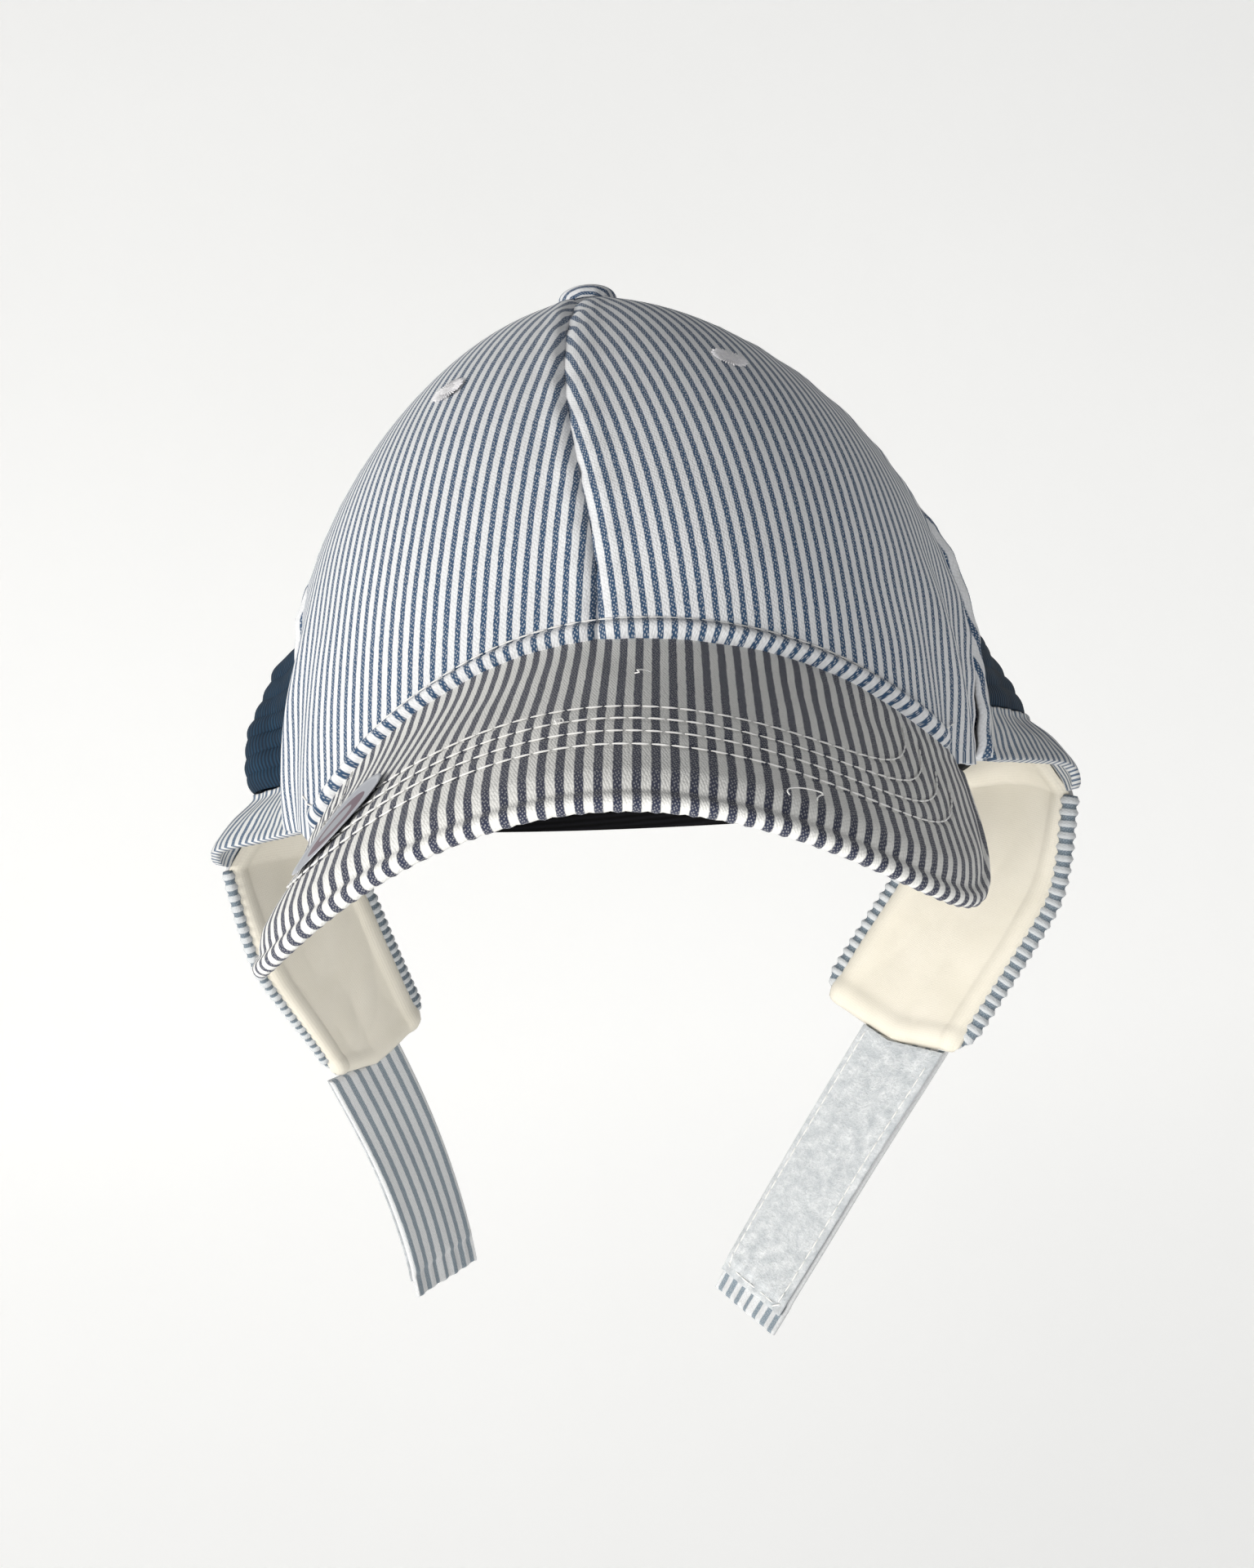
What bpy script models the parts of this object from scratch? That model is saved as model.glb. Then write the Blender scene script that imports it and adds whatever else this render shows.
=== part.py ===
# Striped cloth cap with a curved peak, a ribbed stretch band at the back, and two ear flaps with straps.
# Metres, +Z up. The origin is the centre of the head opening, on the plane of the rim.
# The peak points along -Y, and the wearer's right side is at -X.

import math

import bmesh
import bpy
import numpy as np
from mathutils import Vector

# Crown
CROWN_HALF_WIDTH = 0.0780
CROWN_HALF_LENGTH = 0.0985
CROWN_HEIGHT = 0.1185
APEX_BACK = 0.0055
PLAN_POWER = 2.2
PROFILE_POWER = 2.4
PROFILE_ROOT = 1.43
CROWN_LEAN = 0.0022
CLOTH = 0.0016
GAP = 0.0003
TOP_HOLE_RADIUS = 0.004
SEAM_ANGLES = (0.0, 74.0, 128.0, 180.0)
GORE_PLACES = ("front", "side", "back")
WELT_HEIGHT = 0.0045
WELT_SWELL = 0.0009

# Peak
PEAK_SEAM_HEIGHT = 0.0260
PEAK_PITCH = math.radians(29.5)
PEAK_BEND = math.radians(60.0)
PEAK_BEND_POWER = 1.37
PEAK_LENGTH = 0.070
PEAK_HALF_ARC = 0.089
PEAK_SEAM_HALF_ARC = 0.081
PEAK_OUTLINE_POWER = 3.2
PEAK_THICKNESS = 0.0042

# Stretch band, rear hem and sweatband
BAND_TOP = 0.048
BAND_BOTTOM = 0.013
BAND_START = 81.0
BAND_LEAD = 0.5
BAND_THICKNESS = 0.0024
HEM_THICKNESS = 0.0022
HEM_GAP = 0.0008
FLARE_RIGHT = 0.0325
FLARE_LEFT = 0.0280
SWEATBAND_HEIGHT = 0.026
SWEATBAND_THICKNESS = 0.0012

# Ear flaps and straps
FLAP_WIDTH = 0.043
FLAP_LENGTH = 0.069
FLAP_SHELL = 0.0014
FLAP_LINING = 0.0016
BINDING_RADIUS = 0.0020
BINDING_GAP = 0.0008
FLAP_GAP = 0.0013
STRAP_WIDTH = 0.0230
STRAP_OFFSET = 0.003
STRAP_LENGTH = 0.077
STRAP_THICKNESS = 0.0018
TAPE_THICKNESS = 0.0012
TAPE_MARGIN = 0.0012
TAPE_END_MARGIN = 0.005

# Button, eyelets and sticker
BUTTON_RADIUS = 0.0064
BUTTON_HEIGHT = 0.0040
BUTTON_STEM_RADIUS = 0.0024
BUTTON_STEM_LENGTH = 0.0036
EYELET_RADIUS = 0.0030
EYELET_ROUND = 0.0011
EYELET_HEIGHT_SHARE = 0.72
EYELET_ACROSS = {"front": 0.44, "side": 0.5, "back": 0.5}
STICKER_RADIUS = 0.0110
STICKER_THICKNESS = 0.0006
STICKER_ARC = -0.0505
STICKER_REACH = 0.034

# How far the rear hem stands out: angle from the front in degrees, share of the flare
FLARE_ROUND = (
    (80.0, 0.0),
    (85.0, 0.20),
    (91.0, 0.52),
    (98.0, 0.88),
    (105.0, 1.0),
    (111.0, 0.84),
    (119.0, 0.54),
    (133.0, 0.27),
    (155.0, 0.10),
    (180.0, 0.05),
)
# The same down the band: share of the way down, share of the flare on the right and on the left
FLARE_DOWN_BAND = (
    (0.0, 0.0, 0.0),
    (0.12, 0.30, 0.10),
    (0.3, 0.50, 0.26),
    (0.6, 0.64, 0.48),
    (0.88, 0.63, 0.60),
    (1.0, 0.60, 0.60),
)
# The same down the hem: share of the way down, share of the flare
FLARE_DOWN_HEM = ((0.0, 0.60), (0.15, 0.62), (0.5, 0.84), (0.8, 0.97), (1.0, 1.0))

# How each flap and its strap hang: share of the whole length, lean inward and lean backward in degrees,
# turn of the face about the hanging line in degrees
HANG = {
    "right": (
        (0.0, 8.0, 14.0, 0.0),
        (0.15, 10.0, 38.0, 0.0),
        (0.47, 13.0, 42.0, 0.0),
        (0.75, 9.0, 30.0, 0.0),
        (1.0, 2.0, 22.0, 0.0),
    ),
    "left": (
        (0.0, 16.0, 2.0, -16.0),
        (0.15, 32.0, 5.0, -20.0),
        (0.47, 37.0, 6.0, -20.0),
        (0.75, 36.0, 4.0, -14.0),
        (1.0, 36.0, 2.0, -9.0),
    ),
}
FLAP_MIDDLE_ANGLE = 113.0
FLAP_HALF_ANGLE = 9.0
FLAP_SETTLE_SHARE = 0.35
SIDES = {"right": -1.0, "left": 1.0}

COLOURS = {
    "crown": (0.43, 0.50, 0.58, 1.0),
    "peak": (0.38, 0.40, 0.44, 1.0),
    "button": (0.40, 0.46, 0.53, 1.0),
    "eyelet": (0.78, 0.77, 0.82, 1.0),
    "band": (0.012, 0.035, 0.075, 1.0),
    "sweatband": (0.01, 0.01, 0.012, 1.0),
    "lining": (0.76, 0.70, 0.55, 1.0),
    "binding": (0.36, 0.41, 0.46, 1.0),
    "loop": (0.62, 0.66, 0.69, 1.0),
    "hook": (0.50, 0.52, 0.54, 1.0),
    "foil": (0.62, 0.62, 0.64, 1.0),
}


def table_value(rows, place, column=1):
    """Smooth value of one column of a table at a place along its first column."""
    if place <= rows[0][0]:
        return rows[0][column]
    if place >= rows[-1][0]:
        return rows[-1][column]
    index = max(i for i in range(len(rows) - 1) if rows[i][0] <= place)
    slopes = []
    for i in (index, index + 1):
        low, high = rows[max(i - 1, 0)], rows[min(i + 1, len(rows) - 1)]
        slopes.append((high[column] - low[column]) / (high[0] - low[0]))
    start, end = rows[index], rows[index + 1]
    span = end[0] - start[0]
    t = (place - start[0]) / span
    rise = t * t * (3.0 - 2.0 * t)
    return (
        start[column] * (1.0 - rise)
        + end[column] * rise
        + span * slopes[0] * t * (1.0 - t) ** 2
        - span * slopes[1] * t * t * (1.0 - t)
    )


def smooth_step(t):
    t = min(max(t, 0.0), 1.0)
    return t * t * (3.0 - 2.0 * t)


def signed_power(value, power):
    return math.copysign(abs(value) ** power, value)


def plan_point(angle):
    """Point of the rim's plan at an angle from the front, in degrees, positive towards +X."""
    turn = math.radians(angle)
    x = CROWN_HALF_WIDTH * signed_power(math.sin(turn), 2.0 / PLAN_POWER)
    y = -CROWN_HALF_LENGTH * signed_power(math.cos(turn), 2.0 / PLAN_POWER)
    return x, y


def plan_normal(angle):
    """Outward direction of the rim's plan at an angle."""
    x, y = plan_point(angle)
    grow_x = signed_power(x / CROWN_HALF_WIDTH, PLAN_POWER - 1.0) / CROWN_HALF_WIDTH
    grow_y = signed_power(y / CROWN_HALF_LENGTH, PLAN_POWER - 1.0) / CROWN_HALF_LENGTH
    length = math.hypot(grow_x, grow_y)
    return Vector((grow_x / length, grow_y / length, 0.0))


def profile_share(z):
    """Width of the crown at a height, as a share of its width at the rim."""
    height = min(max(z / CROWN_HEIGHT, 0.0), 1.0)
    return (1.0 - height**PROFILE_POWER) ** (1.0 / PROFILE_ROOT)


def crown_point(angle, z):
    """Point of the crown's outer face: the soft crown leans a little to the left between rim and top."""
    share = profile_share(z)
    height = max(z, 0.0) / CROWN_HEIGHT
    x, y = plan_point(angle)
    return Vector((x * share + CROWN_LEAN * math.sin(math.pi * height), y * share + APEX_BACK * height, z))


def top_ring_height():
    """Height at which the gores stop, round the button's stem."""
    share = TOP_HOLE_RADIUS / CROWN_HALF_WIDTH
    return CROWN_HEIGHT * (1.0 - share**PROFILE_ROOT) ** (1.0 / PROFILE_POWER)


def peak_bend():
    """Arc, half width, drop and slope of the peak's bend, which eases from its middle to its sides."""
    count = 240
    shares = np.linspace(0.0, 1.0, count + 1)
    slopes = PEAK_BEND * (1.0 - (1.0 - shares) ** PEAK_BEND_POWER)
    middles = (slopes[1:] + slopes[:-1]) / 2.0
    step = PEAK_HALF_ARC / count
    sides = np.concatenate(([0.0], np.cumsum(np.cos(middles) * step)))
    drops = np.concatenate(([0.0], np.cumsum(np.sin(middles) * step)))
    return shares * PEAK_HALF_ARC, sides, drops, slopes


BEND_ARCS, BEND_SIDES, BEND_DROPS, BEND_SLOPES = peak_bend()


def peak_frame():
    forward = Vector((0.0, -math.cos(PEAK_PITCH), -math.sin(PEAK_PITCH)))
    up = Vector((0.0, -math.sin(PEAK_PITCH), math.cos(PEAK_PITCH)))
    seam = Vector((0.0, -CROWN_HALF_LENGTH, PEAK_SEAM_HEIGHT))
    return seam, forward, up


def peak_point(arc, reach, depth=0.0):
    """Point of the bent peak: arc from its middle, reach from the seam, depth under the top face."""
    seam, forward, up = peak_frame()
    slope = np.interp(abs(arc), BEND_ARCS, BEND_SLOPES)
    side = np.interp(abs(arc), BEND_ARCS, BEND_SIDES) - depth * math.sin(slope)
    drop = np.interp(abs(arc), BEND_ARCS, BEND_DROPS) + depth * math.cos(slope)
    return seam + forward * reach + Vector((math.copysign(side, arc), 0.0, 0.0)) - up * drop


def peak_seam_reach(arc, depth, clearance):
    """Reach at which the peak meets the crown's wall, with a clearance in front of it."""
    reach = 0.0
    for _ in range(6):
        place = peak_point(arc, reach, depth)
        share = profile_share(place.z)
        shift = crown_point(0.0, place.z) - Vector((0.0, -CROWN_HALF_LENGTH * share, place.z))
        side = min(abs(place.x - shift.x) / (CROWN_HALF_WIDTH * share + clearance), 0.999)
        wall_y = shift.y - (CROWN_HALF_LENGTH * share + clearance) * (1.0 - side**PLAN_POWER) ** (1.0 / PLAN_POWER)
        reach += (place.y - wall_y) / math.cos(PEAK_PITCH)
    return reach


def corner_angle():
    """Angle from the front at which the peak's seam ends."""
    x = abs(peak_point(PEAK_SEAM_HALF_ARC, 0.0).x)
    return math.degrees(math.asin((x / CROWN_HALF_WIDTH) ** (PLAN_POWER / 2.0)))


def front_rim_height(angle):
    """Height of the crown's lower edge, which covers the peak's back edge, then runs level."""
    end = corner_angle()
    x = abs(plan_point(min(abs(angle), end))[0])
    arc = np.interp(x, BEND_SIDES, BEND_ARCS)
    reach = peak_seam_reach(arc, PEAK_THICKNESS, 0.0)
    meet = peak_point(arc, reach, PEAK_THICKNESS).z
    level = smooth_step((abs(angle) - end + 4.0) / 12.0)
    return meet * (1.0 - level)


def left_share(angle):
    """How far a place belongs to the left half: 0 on the right, 1 on the left, eased across the middle."""
    return smooth_step(0.5 + 0.5 * math.sin(math.radians(angle)))


def flared_point(angle, z, share):
    """Point on the rim's plan, moved outward by a share of the flare at that angle."""
    flare = FLARE_RIGHT + (FLARE_LEFT - FLARE_RIGHT) * left_share(angle)
    outward = flare * table_value(FLARE_ROUND, abs(angle)) * share
    return crown_point(angle, z) + plan_normal(angle) * outward


def hem_point(angle, down):
    """Point of the rear hem, from its top under the stretch band down to the rim."""
    top = BAND_BOTTOM - HEM_GAP
    return flared_point(angle, top * (1.0 - down), table_value(FLARE_DOWN_HEM, down))


def band_point(angle, down):
    """Point of the stretch band, from the gores' lower edge down to the rear hem."""
    top = BAND_TOP - GAP
    z = top + (BAND_BOTTOM - top) * down
    right, left = table_value(FLARE_DOWN_BAND, down, 1), table_value(FLARE_DOWN_BAND, down, 2)
    return flared_point(angle, z, right + (left - right) * left_share(angle))


def hang_frames(side_name):
    """Points, width directions and faces down the middle of one flap and its strap."""
    side = SIDES[side_name]
    rows = HANG[side_name]
    whole = FLAP_LENGTH + STRAP_LENGTH
    steps = 60
    outer = hem_point(side * (FLAP_MIDDLE_ANGLE - FLAP_HALF_ANGLE), 1.0)
    inner = hem_point(side * (FLAP_MIDDLE_ANGLE + FLAP_HALF_ANGLE), 1.0)
    across = (inner - outer).normalized()
    place = (outer + inner) / 2.0 - Vector((0.0, 0.0, FLAP_GAP))
    frames = []
    for step in range(steps + 1):
        share = step / steps
        inward = math.radians(table_value(rows, share, 1))
        backward = math.radians(table_value(rows, share, 2))
        turn = math.radians(table_value(rows, share, 3)) * side
        down = Vector((-side * math.tan(inward), math.tan(backward), -1.0)).normalized()
        wide = (across - down * across.dot(down)).normalized()
        face = down.cross(wide).normalized()
        wide = (wide * math.cos(turn) + face * math.sin(turn)).normalized()
        face = down.cross(wide).normalized() * -side
        frames.append((share * whole, place.copy(), wide, face))
        place = place + down * (whole / steps)
    return frames


def frame_at(frames, length):
    step = frames[1][0] - frames[0][0]
    index = min(max(int(length / step), 0), len(frames) - 2)
    t = (length - frames[index][0]) / step
    low, high = frames[index], frames[index + 1]
    return tuple(low[i].lerp(high[i], t) for i in (1, 2, 3))


def flap_point(side_name, frames, across, length):
    """Point of a flap's middle surface: across runs from -1 at the outer edge to 1 at the inner edge."""
    middle, wide, _ = frame_at(frames, length)
    hanging = middle + wide * (across * FLAP_WIDTH / 2.0)
    angle = SIDES[side_name] * (FLAP_MIDDLE_ANGLE + across * FLAP_HALF_ANGLE)
    sewn = hem_point(angle, 1.0) + (hanging - (frames[0][1] + frames[0][2] * (across * FLAP_WIDTH / 2.0)))
    sewn = sewn - Vector((0.0, 0.0, FLAP_GAP))
    settle = smooth_step(length / (FLAP_LENGTH * FLAP_SETTLE_SHARE))
    return sewn.lerp(hanging, settle)


def material(name, colour, roughness, metallic=0.0):
    made = bpy.data.materials.new(name)
    made.use_nodes = True
    shader = made.node_tree.nodes["Principled BSDF"]
    shader.inputs["Base Color"].default_value = colour
    shader.inputs["Roughness"].default_value = roughness
    shader.inputs["Metallic"].default_value = metallic
    made.diffuse_color = colour
    return made


def place_object(name, mesh, finish, collection):
    made = bpy.data.objects.new(name, mesh)
    mesh.materials.append(finish)
    collection.objects.link(made)
    return made


def sheet(name, surface, columns, rows, thickness, finish, collection, lift=0.0, grow=-1.0, cut=None):
    """Cloth sheet: a grid laid over surface(u, v), lifted along its normals and made solid.

    A cut of (u, v) leaves out the corner of the grid beyond that u and below that v.
    """
    shape = bmesh.new()
    bmesh.ops.create_grid(shape, x_segments=columns, y_segments=rows, size=0.5)
    if cut:
        centres = [(face, face.calc_center_median()) for face in shape.faces]
        away = [face for face, place in centres if place.x + 0.5 > cut[0] and place.y + 0.5 < cut[1]]
        bmesh.ops.delete(shape, geom=away, context="FACES")
    for vertex in shape.verts:
        vertex.co = surface(vertex.co.x + 0.5, vertex.co.y + 0.5)
    shape.normal_update()
    lifted = [vertex.co + vertex.normal * lift for vertex in shape.verts]
    for vertex, place in zip(shape.verts, lifted):
        vertex.co = place
    mesh = bpy.data.meshes.new(name)
    shape.to_mesh(mesh)
    shape.free()
    mesh.shade_smooth()
    made = place_object(name, mesh, finish, collection)
    wall = made.modifiers.new("wall", "SOLIDIFY")
    wall.thickness = thickness
    wall.offset = grow
    wall.use_even_offset = False


def loft(name, sections, finish, collection, closed=False):
    """Solid through closed sections with the same number of points each."""
    shape = bmesh.new()
    rings = [[shape.verts.new(point) for point in section] for section in sections]
    pairs = list(zip(rings, rings[1:]))
    if closed:
        pairs.append((rings[-1], rings[0]))
    count = len(rings[0])
    for low, high in pairs:
        for i in range(count):
            j = (i + 1) % count
            shape.faces.new((low[i], low[j], high[j], high[i]))
    if not closed:
        shape.faces.new(rings[0])
        shape.faces.new(rings[-1])
    bmesh.ops.recalc_face_normals(shape, faces=shape.faces)
    mesh = bpy.data.meshes.new(name)
    shape.to_mesh(mesh)
    shape.free()
    mesh.shade_smooth()
    mesh.set_sharp_from_angle(angle=math.radians(50.0))
    place_object(name, mesh, finish, collection)


def build_gore(place, side_name, first, last, finish, collection):
    side = SIDES[side_name]
    top = top_ring_height()
    spread = math.sqrt(CROWN_HALF_WIDTH * CROWN_HALF_LENGTH)

    middle = (first + last) / 2.0
    half = (last - first) / 2.0
    columns, rows = 9, 12
    band_column, band_row = 1, 5

    def surface(u, v):
        if place == "side":
            angle = np.interp(u * columns, (0, band_column, columns), (first, BAND_START, last))
        else:
            angle = first + (last - first) * u
        base = BAND_TOP if place == "back" else front_rim_height(angle)
        rise = 1.0 - (1.0 - v) ** 1.35
        if place == "side":
            rise = np.interp(v * rows, (0, band_row, rows), (0.0, BAND_TOP / top, 1.0))
        z = base + (top - base) * rise
        inset = math.degrees(GAP / 2.0 / (spread * profile_share(z)))
        angle = middle + (angle - middle) * (half - inset) / half
        point = crown_point(side * angle, z)
        near_rim = max(0.0, 1.0 - (z - base) / (PEAK_THICKNESS + WELT_HEIGHT))
        swell = WELT_SWELL * math.sin(math.pi * min(near_rim * 1.6, 1.0))
        return point + plan_normal(side * angle) * (swell if place == "front" else 0.0)

    cut = (band_column / columns, band_row / rows) if place == "side" else None
    name = f"crown_{place}_{side_name}"
    sheet(name, surface, columns, rows, CLOTH, finish, collection, grow=-side, cut=cut)


def build_button(finish, collection):
    base = top_ring_height() + GAP
    edge = BUTTON_HEIGHT * 0.32
    steps = 6
    points = [Vector((0.0, 0.0, BUTTON_HEIGHT))]
    for step in range(1, steps + 1):
        turn = math.pi / 2.0 * step / steps
        points.append(Vector((BUTTON_RADIUS * math.sin(turn), 0.0, edge + (BUTTON_HEIGHT - edge) * math.cos(turn))))
    points.append(Vector((BUTTON_RADIUS * 0.93, 0.0, edge * 0.35)))
    points.append(Vector((TOP_HOLE_RADIUS + GAP, 0.0, GAP)))
    points.append(Vector((BUTTON_STEM_RADIUS, 0.0, 0.0)))
    points.append(Vector((BUTTON_STEM_RADIUS, 0.0, -BUTTON_STEM_LENGTH)))
    points.append(Vector((0.0, 0.0, -BUTTON_STEM_LENGTH)))
    mesh = bpy.data.meshes.new("top_button")
    mesh.from_pydata(points, [(i, i + 1) for i in range(len(points) - 1)], [])
    made = place_object("top_button", mesh, finish, collection)
    made.location = (0.0, APEX_BACK * base / CROWN_HEIGHT, base)
    turned = made.modifiers.new("turned", "SCREW")
    turned.steps = 20
    turned.render_steps = 20
    turned.use_merge_vertices = True
    turned.merge_threshold = 0.00002
    turned.use_smooth_shade = True


def build_eyelet(place, side_name, first, last, finish, collection):
    angle = SIDES[side_name] * (first + (last - first) * EYELET_ACROSS[place])
    z = CROWN_HEIGHT * EYELET_HEIGHT_SHARE
    small = 0.001
    point = crown_point(angle, z)
    up = crown_point(angle, z + small) - crown_point(angle, z - small)
    along = crown_point(angle + 0.5, z) - crown_point(angle - 0.5, z)
    normal = along.cross(up).normalized()
    bpy.ops.mesh.primitive_torus_add(
        major_segments=14,
        minor_segments=6,
        major_radius=EYELET_RADIUS,
        minor_radius=EYELET_ROUND,
    )
    made = bpy.context.object
    for vertex in made.data.vertices:
        vertex.co.z *= 0.4
    made.name = f"eyelet_{place}_{side_name}"
    made.data.materials.append(finish)
    made.data.shade_smooth()
    made.rotation_mode = "QUATERNION"
    made.rotation_quaternion = normal.to_track_quat("Z", "Y")
    made.location = point + normal * (EYELET_ROUND * 0.4 + GAP + 0.0001)
    for owner in list(made.users_collection):
        owner.objects.unlink(made)
    collection.objects.link(made)


def build_peak(finish, collection):
    """Bent peak, lofted from side to side through closed sections with a rounded front edge."""
    corner_reach = peak_seam_reach(PEAK_SEAM_HALF_ARC, 0.0, GAP)
    reach_span = PEAK_LENGTH - corner_reach
    sections_each_side = 18
    top_points = 7
    nose_points = 4
    sections = []
    for step in range(-sections_each_side, sections_each_side + 1):
        share = step / sections_each_side
        turn = math.radians(90.0) * share * 0.995
        power = PEAK_OUTLINE_POWER
        wide = abs(math.sin(turn) / PEAK_HALF_ARC) ** power
        long = abs(math.cos(turn) / reach_span) ** power
        radius = (wide + long) ** (-1.0 / power)
        outer_arc = radius * math.sin(turn)
        outer_reach = corner_reach + radius * math.cos(turn)
        inner_arc = PEAK_SEAM_HALF_ARC * share
        section = []
        half = PEAK_THICKNESS / 2.0

        def between(t, depth):
            start = peak_seam_reach(inner_arc, depth, GAP + WELT_SWELL * (1.0 - depth / PEAK_THICKNESS))
            arc = inner_arc + (outer_arc - inner_arc) * t
            reach = start + (outer_reach - start) * t
            return peak_point(arc, reach, depth)

        full = math.hypot(outer_arc - inner_arc, outer_reach - peak_seam_reach(inner_arc, 0.0, GAP))
        flat_end = max(1.0 - half / full, 0.3)
        for i in range(top_points):
            section.append(between(flat_end * i / (top_points - 1), 0.0))
        for i in range(1, nose_points + 1):
            angle = math.pi * i / (nose_points + 1)
            depth = half * (1.0 - math.cos(angle))
            section.append(between(flat_end + (1.0 - flat_end) * math.sin(angle), depth))
        for i in reversed(range(top_points)):
            section.append(between(flat_end * i / (top_points - 1), PEAK_THICKNESS))
        sections.append(section)
    loft("peak", sections, finish, collection)


def build_sticker(finish, collection):
    def surface(u, v):
        x = 2.0 * u - 1.0
        y = 1.0 - 2.0 * v
        disc_x = x * math.sqrt(1.0 - y * y / 2.0)
        disc_y = y * math.sqrt(1.0 - x * x / 2.0)
        arc = STICKER_ARC + STICKER_RADIUS * disc_x
        return peak_point(arc, STICKER_REACH + STICKER_RADIUS * disc_y, -GAP)

    sheet("peak_sticker", surface, 8, 8, STICKER_THICKNESS, finish, collection, grow=1.0)


def build_back_pieces(band_finish, hem_finish, collection):
    start = BAND_START + BAND_LEAD
    columns = 42

    def around(u):
        angle = start + (360.0 - 2.0 * start) * u
        return angle if angle <= 180.0 else angle - 360.0

    def band(u, v):
        return band_point(around(u), 1.0 - v)

    def hem(u, v):
        return hem_point(around(u), 1.0 - v)

    band_lift = BAND_THICKNESS / 2.0 - CLOTH
    hem_lift = HEM_THICKNESS / 2.0 - CLOTH
    sheet("back_band", band, columns, 6, BAND_THICKNESS, band_finish, collection, lift=band_lift, grow=0.0)
    sheet("rear_hem", hem, columns, 3, HEM_THICKNESS, hem_finish, collection, lift=hem_lift, grow=0.0)


def build_sweatband(finish, collection):
    """Closed ring of tape inside the rim: four corners in each section."""
    outer_inset = CLOTH + 2.0 * GAP
    inner_inset = outer_inset + SWEATBAND_THICKNESS
    count = 60
    sections = []
    for step in range(count):
        angle = 360.0 * step / count - 180.0
        low = front_rim_height(angle)
        normal = plan_normal(angle)
        section = []
        for inset, z in (
            (outer_inset, low),
            (outer_inset, low + SWEATBAND_HEIGHT),
            (inner_inset, low + SWEATBAND_HEIGHT),
            (inner_inset, low),
        ):
            section.append(crown_point(angle, z) - normal * inset)
        sections.append(section)
    loft("sweatband", sections, finish, collection, closed=True)


def build_flap(side_name, finishes, collection):
    """One ear flap: striped shell outside, lining inside, and a rolled binding round three edges."""
    frames = hang_frames(side_name)
    side = SIDES[side_name]
    inner_share = 1.0 - (2.0 * BINDING_RADIUS + BINDING_GAP) * 2.0 / FLAP_WIDTH
    bottom = FLAP_LENGTH - 2.0 * BINDING_RADIUS - BINDING_GAP

    def surface(u, v):
        across = (2.0 * u - 1.0) * inner_share * side
        return flap_point(side_name, frames, across, bottom * (1.0 - v))

    sheet(
        f"flap_shell_{side_name}", surface, 6, 10, FLAP_SHELL, finishes["crown"], collection,
        lift=GAP / 2.0, grow=1.0,
    )
    sheet(
        f"flap_lining_{side_name}", surface, 6, 10, FLAP_LINING, finishes["lining"], collection,
        lift=-GAP / 2.0, grow=-1.0,
    )
    route = []
    edge = 1.0 - BINDING_RADIUS * 2.0 / FLAP_WIDTH
    low = FLAP_LENGTH - BINDING_RADIUS
    corner = BINDING_RADIUS * 2.2
    down_steps = 11
    for i in range(down_steps):
        route.append((-edge, (low - corner) * i / (down_steps - 1)))
    corner_share = corner * 2.0 / FLAP_WIDTH
    for i in range(1, 3):
        turn = math.pi / 2.0 * i / 3.0
        across = -edge + corner_share * (1.0 - math.cos(turn))
        route.append((across, low - corner + corner * math.sin(turn)))
    for i in range(5):
        route.append(((-edge + corner_share) * (1.0 - i / 2.0), low))
    for i in range(1, 3):
        turn = math.pi / 2.0 * i / 3.0
        across = edge - corner_share + corner_share * math.sin(turn)
        route.append((across, low - corner + corner * math.cos(turn)))
    for i in reversed(range(down_steps)):
        route.append((edge, (low - corner) * i / (down_steps - 1)))
    curve = bpy.data.curves.new(f"flap_binding_{side_name}", "CURVE")
    curve.dimensions = "3D"
    curve.bevel_depth = BINDING_RADIUS
    curve.bevel_resolution = 2
    curve.use_fill_caps = True
    spline = curve.splines.new("POLY")
    spline.points.add(len(route) - 1)
    for spot, (across, length) in zip(spline.points, route):
        spot.co = (*flap_point(side_name, frames, across, length), 1.0)
    curve.materials.append(finishes["binding"])
    made = bpy.data.objects.new(f"flap_binding_{side_name}", curve)
    collection.objects.link(made)


def build_strap(side_name, finishes, collection):
    """Strap below a flap, with its touch tape on the inner face on one side and the outer on the other."""
    frames = hang_frames(side_name)
    side = SIDES[side_name]
    start = FLAP_LENGTH + GAP

    def strap_surface(u, v):
        length = start + STRAP_LENGTH * (1.0 - v) - GAP
        middle, wide, _ = frame_at(frames, length)
        return middle + wide * ((2.0 * u - 1.0) * side * STRAP_WIDTH / 2.0 - STRAP_OFFSET)

    def tape_surface(u, v):
        length = start + TAPE_MARGIN + (STRAP_LENGTH - TAPE_MARGIN - TAPE_END_MARGIN) * (1.0 - v)
        middle, wide, _ = frame_at(frames, length)
        return middle + wide * ((2.0 * u - 1.0) * side * (STRAP_WIDTH / 2.0 - TAPE_MARGIN) - STRAP_OFFSET)

    sheet(f"strap_{side_name}", strap_surface, 4, 12, STRAP_THICKNESS, finishes["crown"], collection, grow=0.0)
    beside = STRAP_THICKNESS / 2.0 + GAP
    if side_name == "left":
        sheet(
            "loop_strip", tape_surface, 4, 12, TAPE_THICKNESS, finishes["loop"], collection,
            lift=-beside, grow=-1.0,
        )
    else:
        sheet(
            "hook_strip", tape_surface, 4, 12, TAPE_THICKNESS, finishes["hook"], collection,
            lift=beside, grow=1.0,
        )


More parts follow.
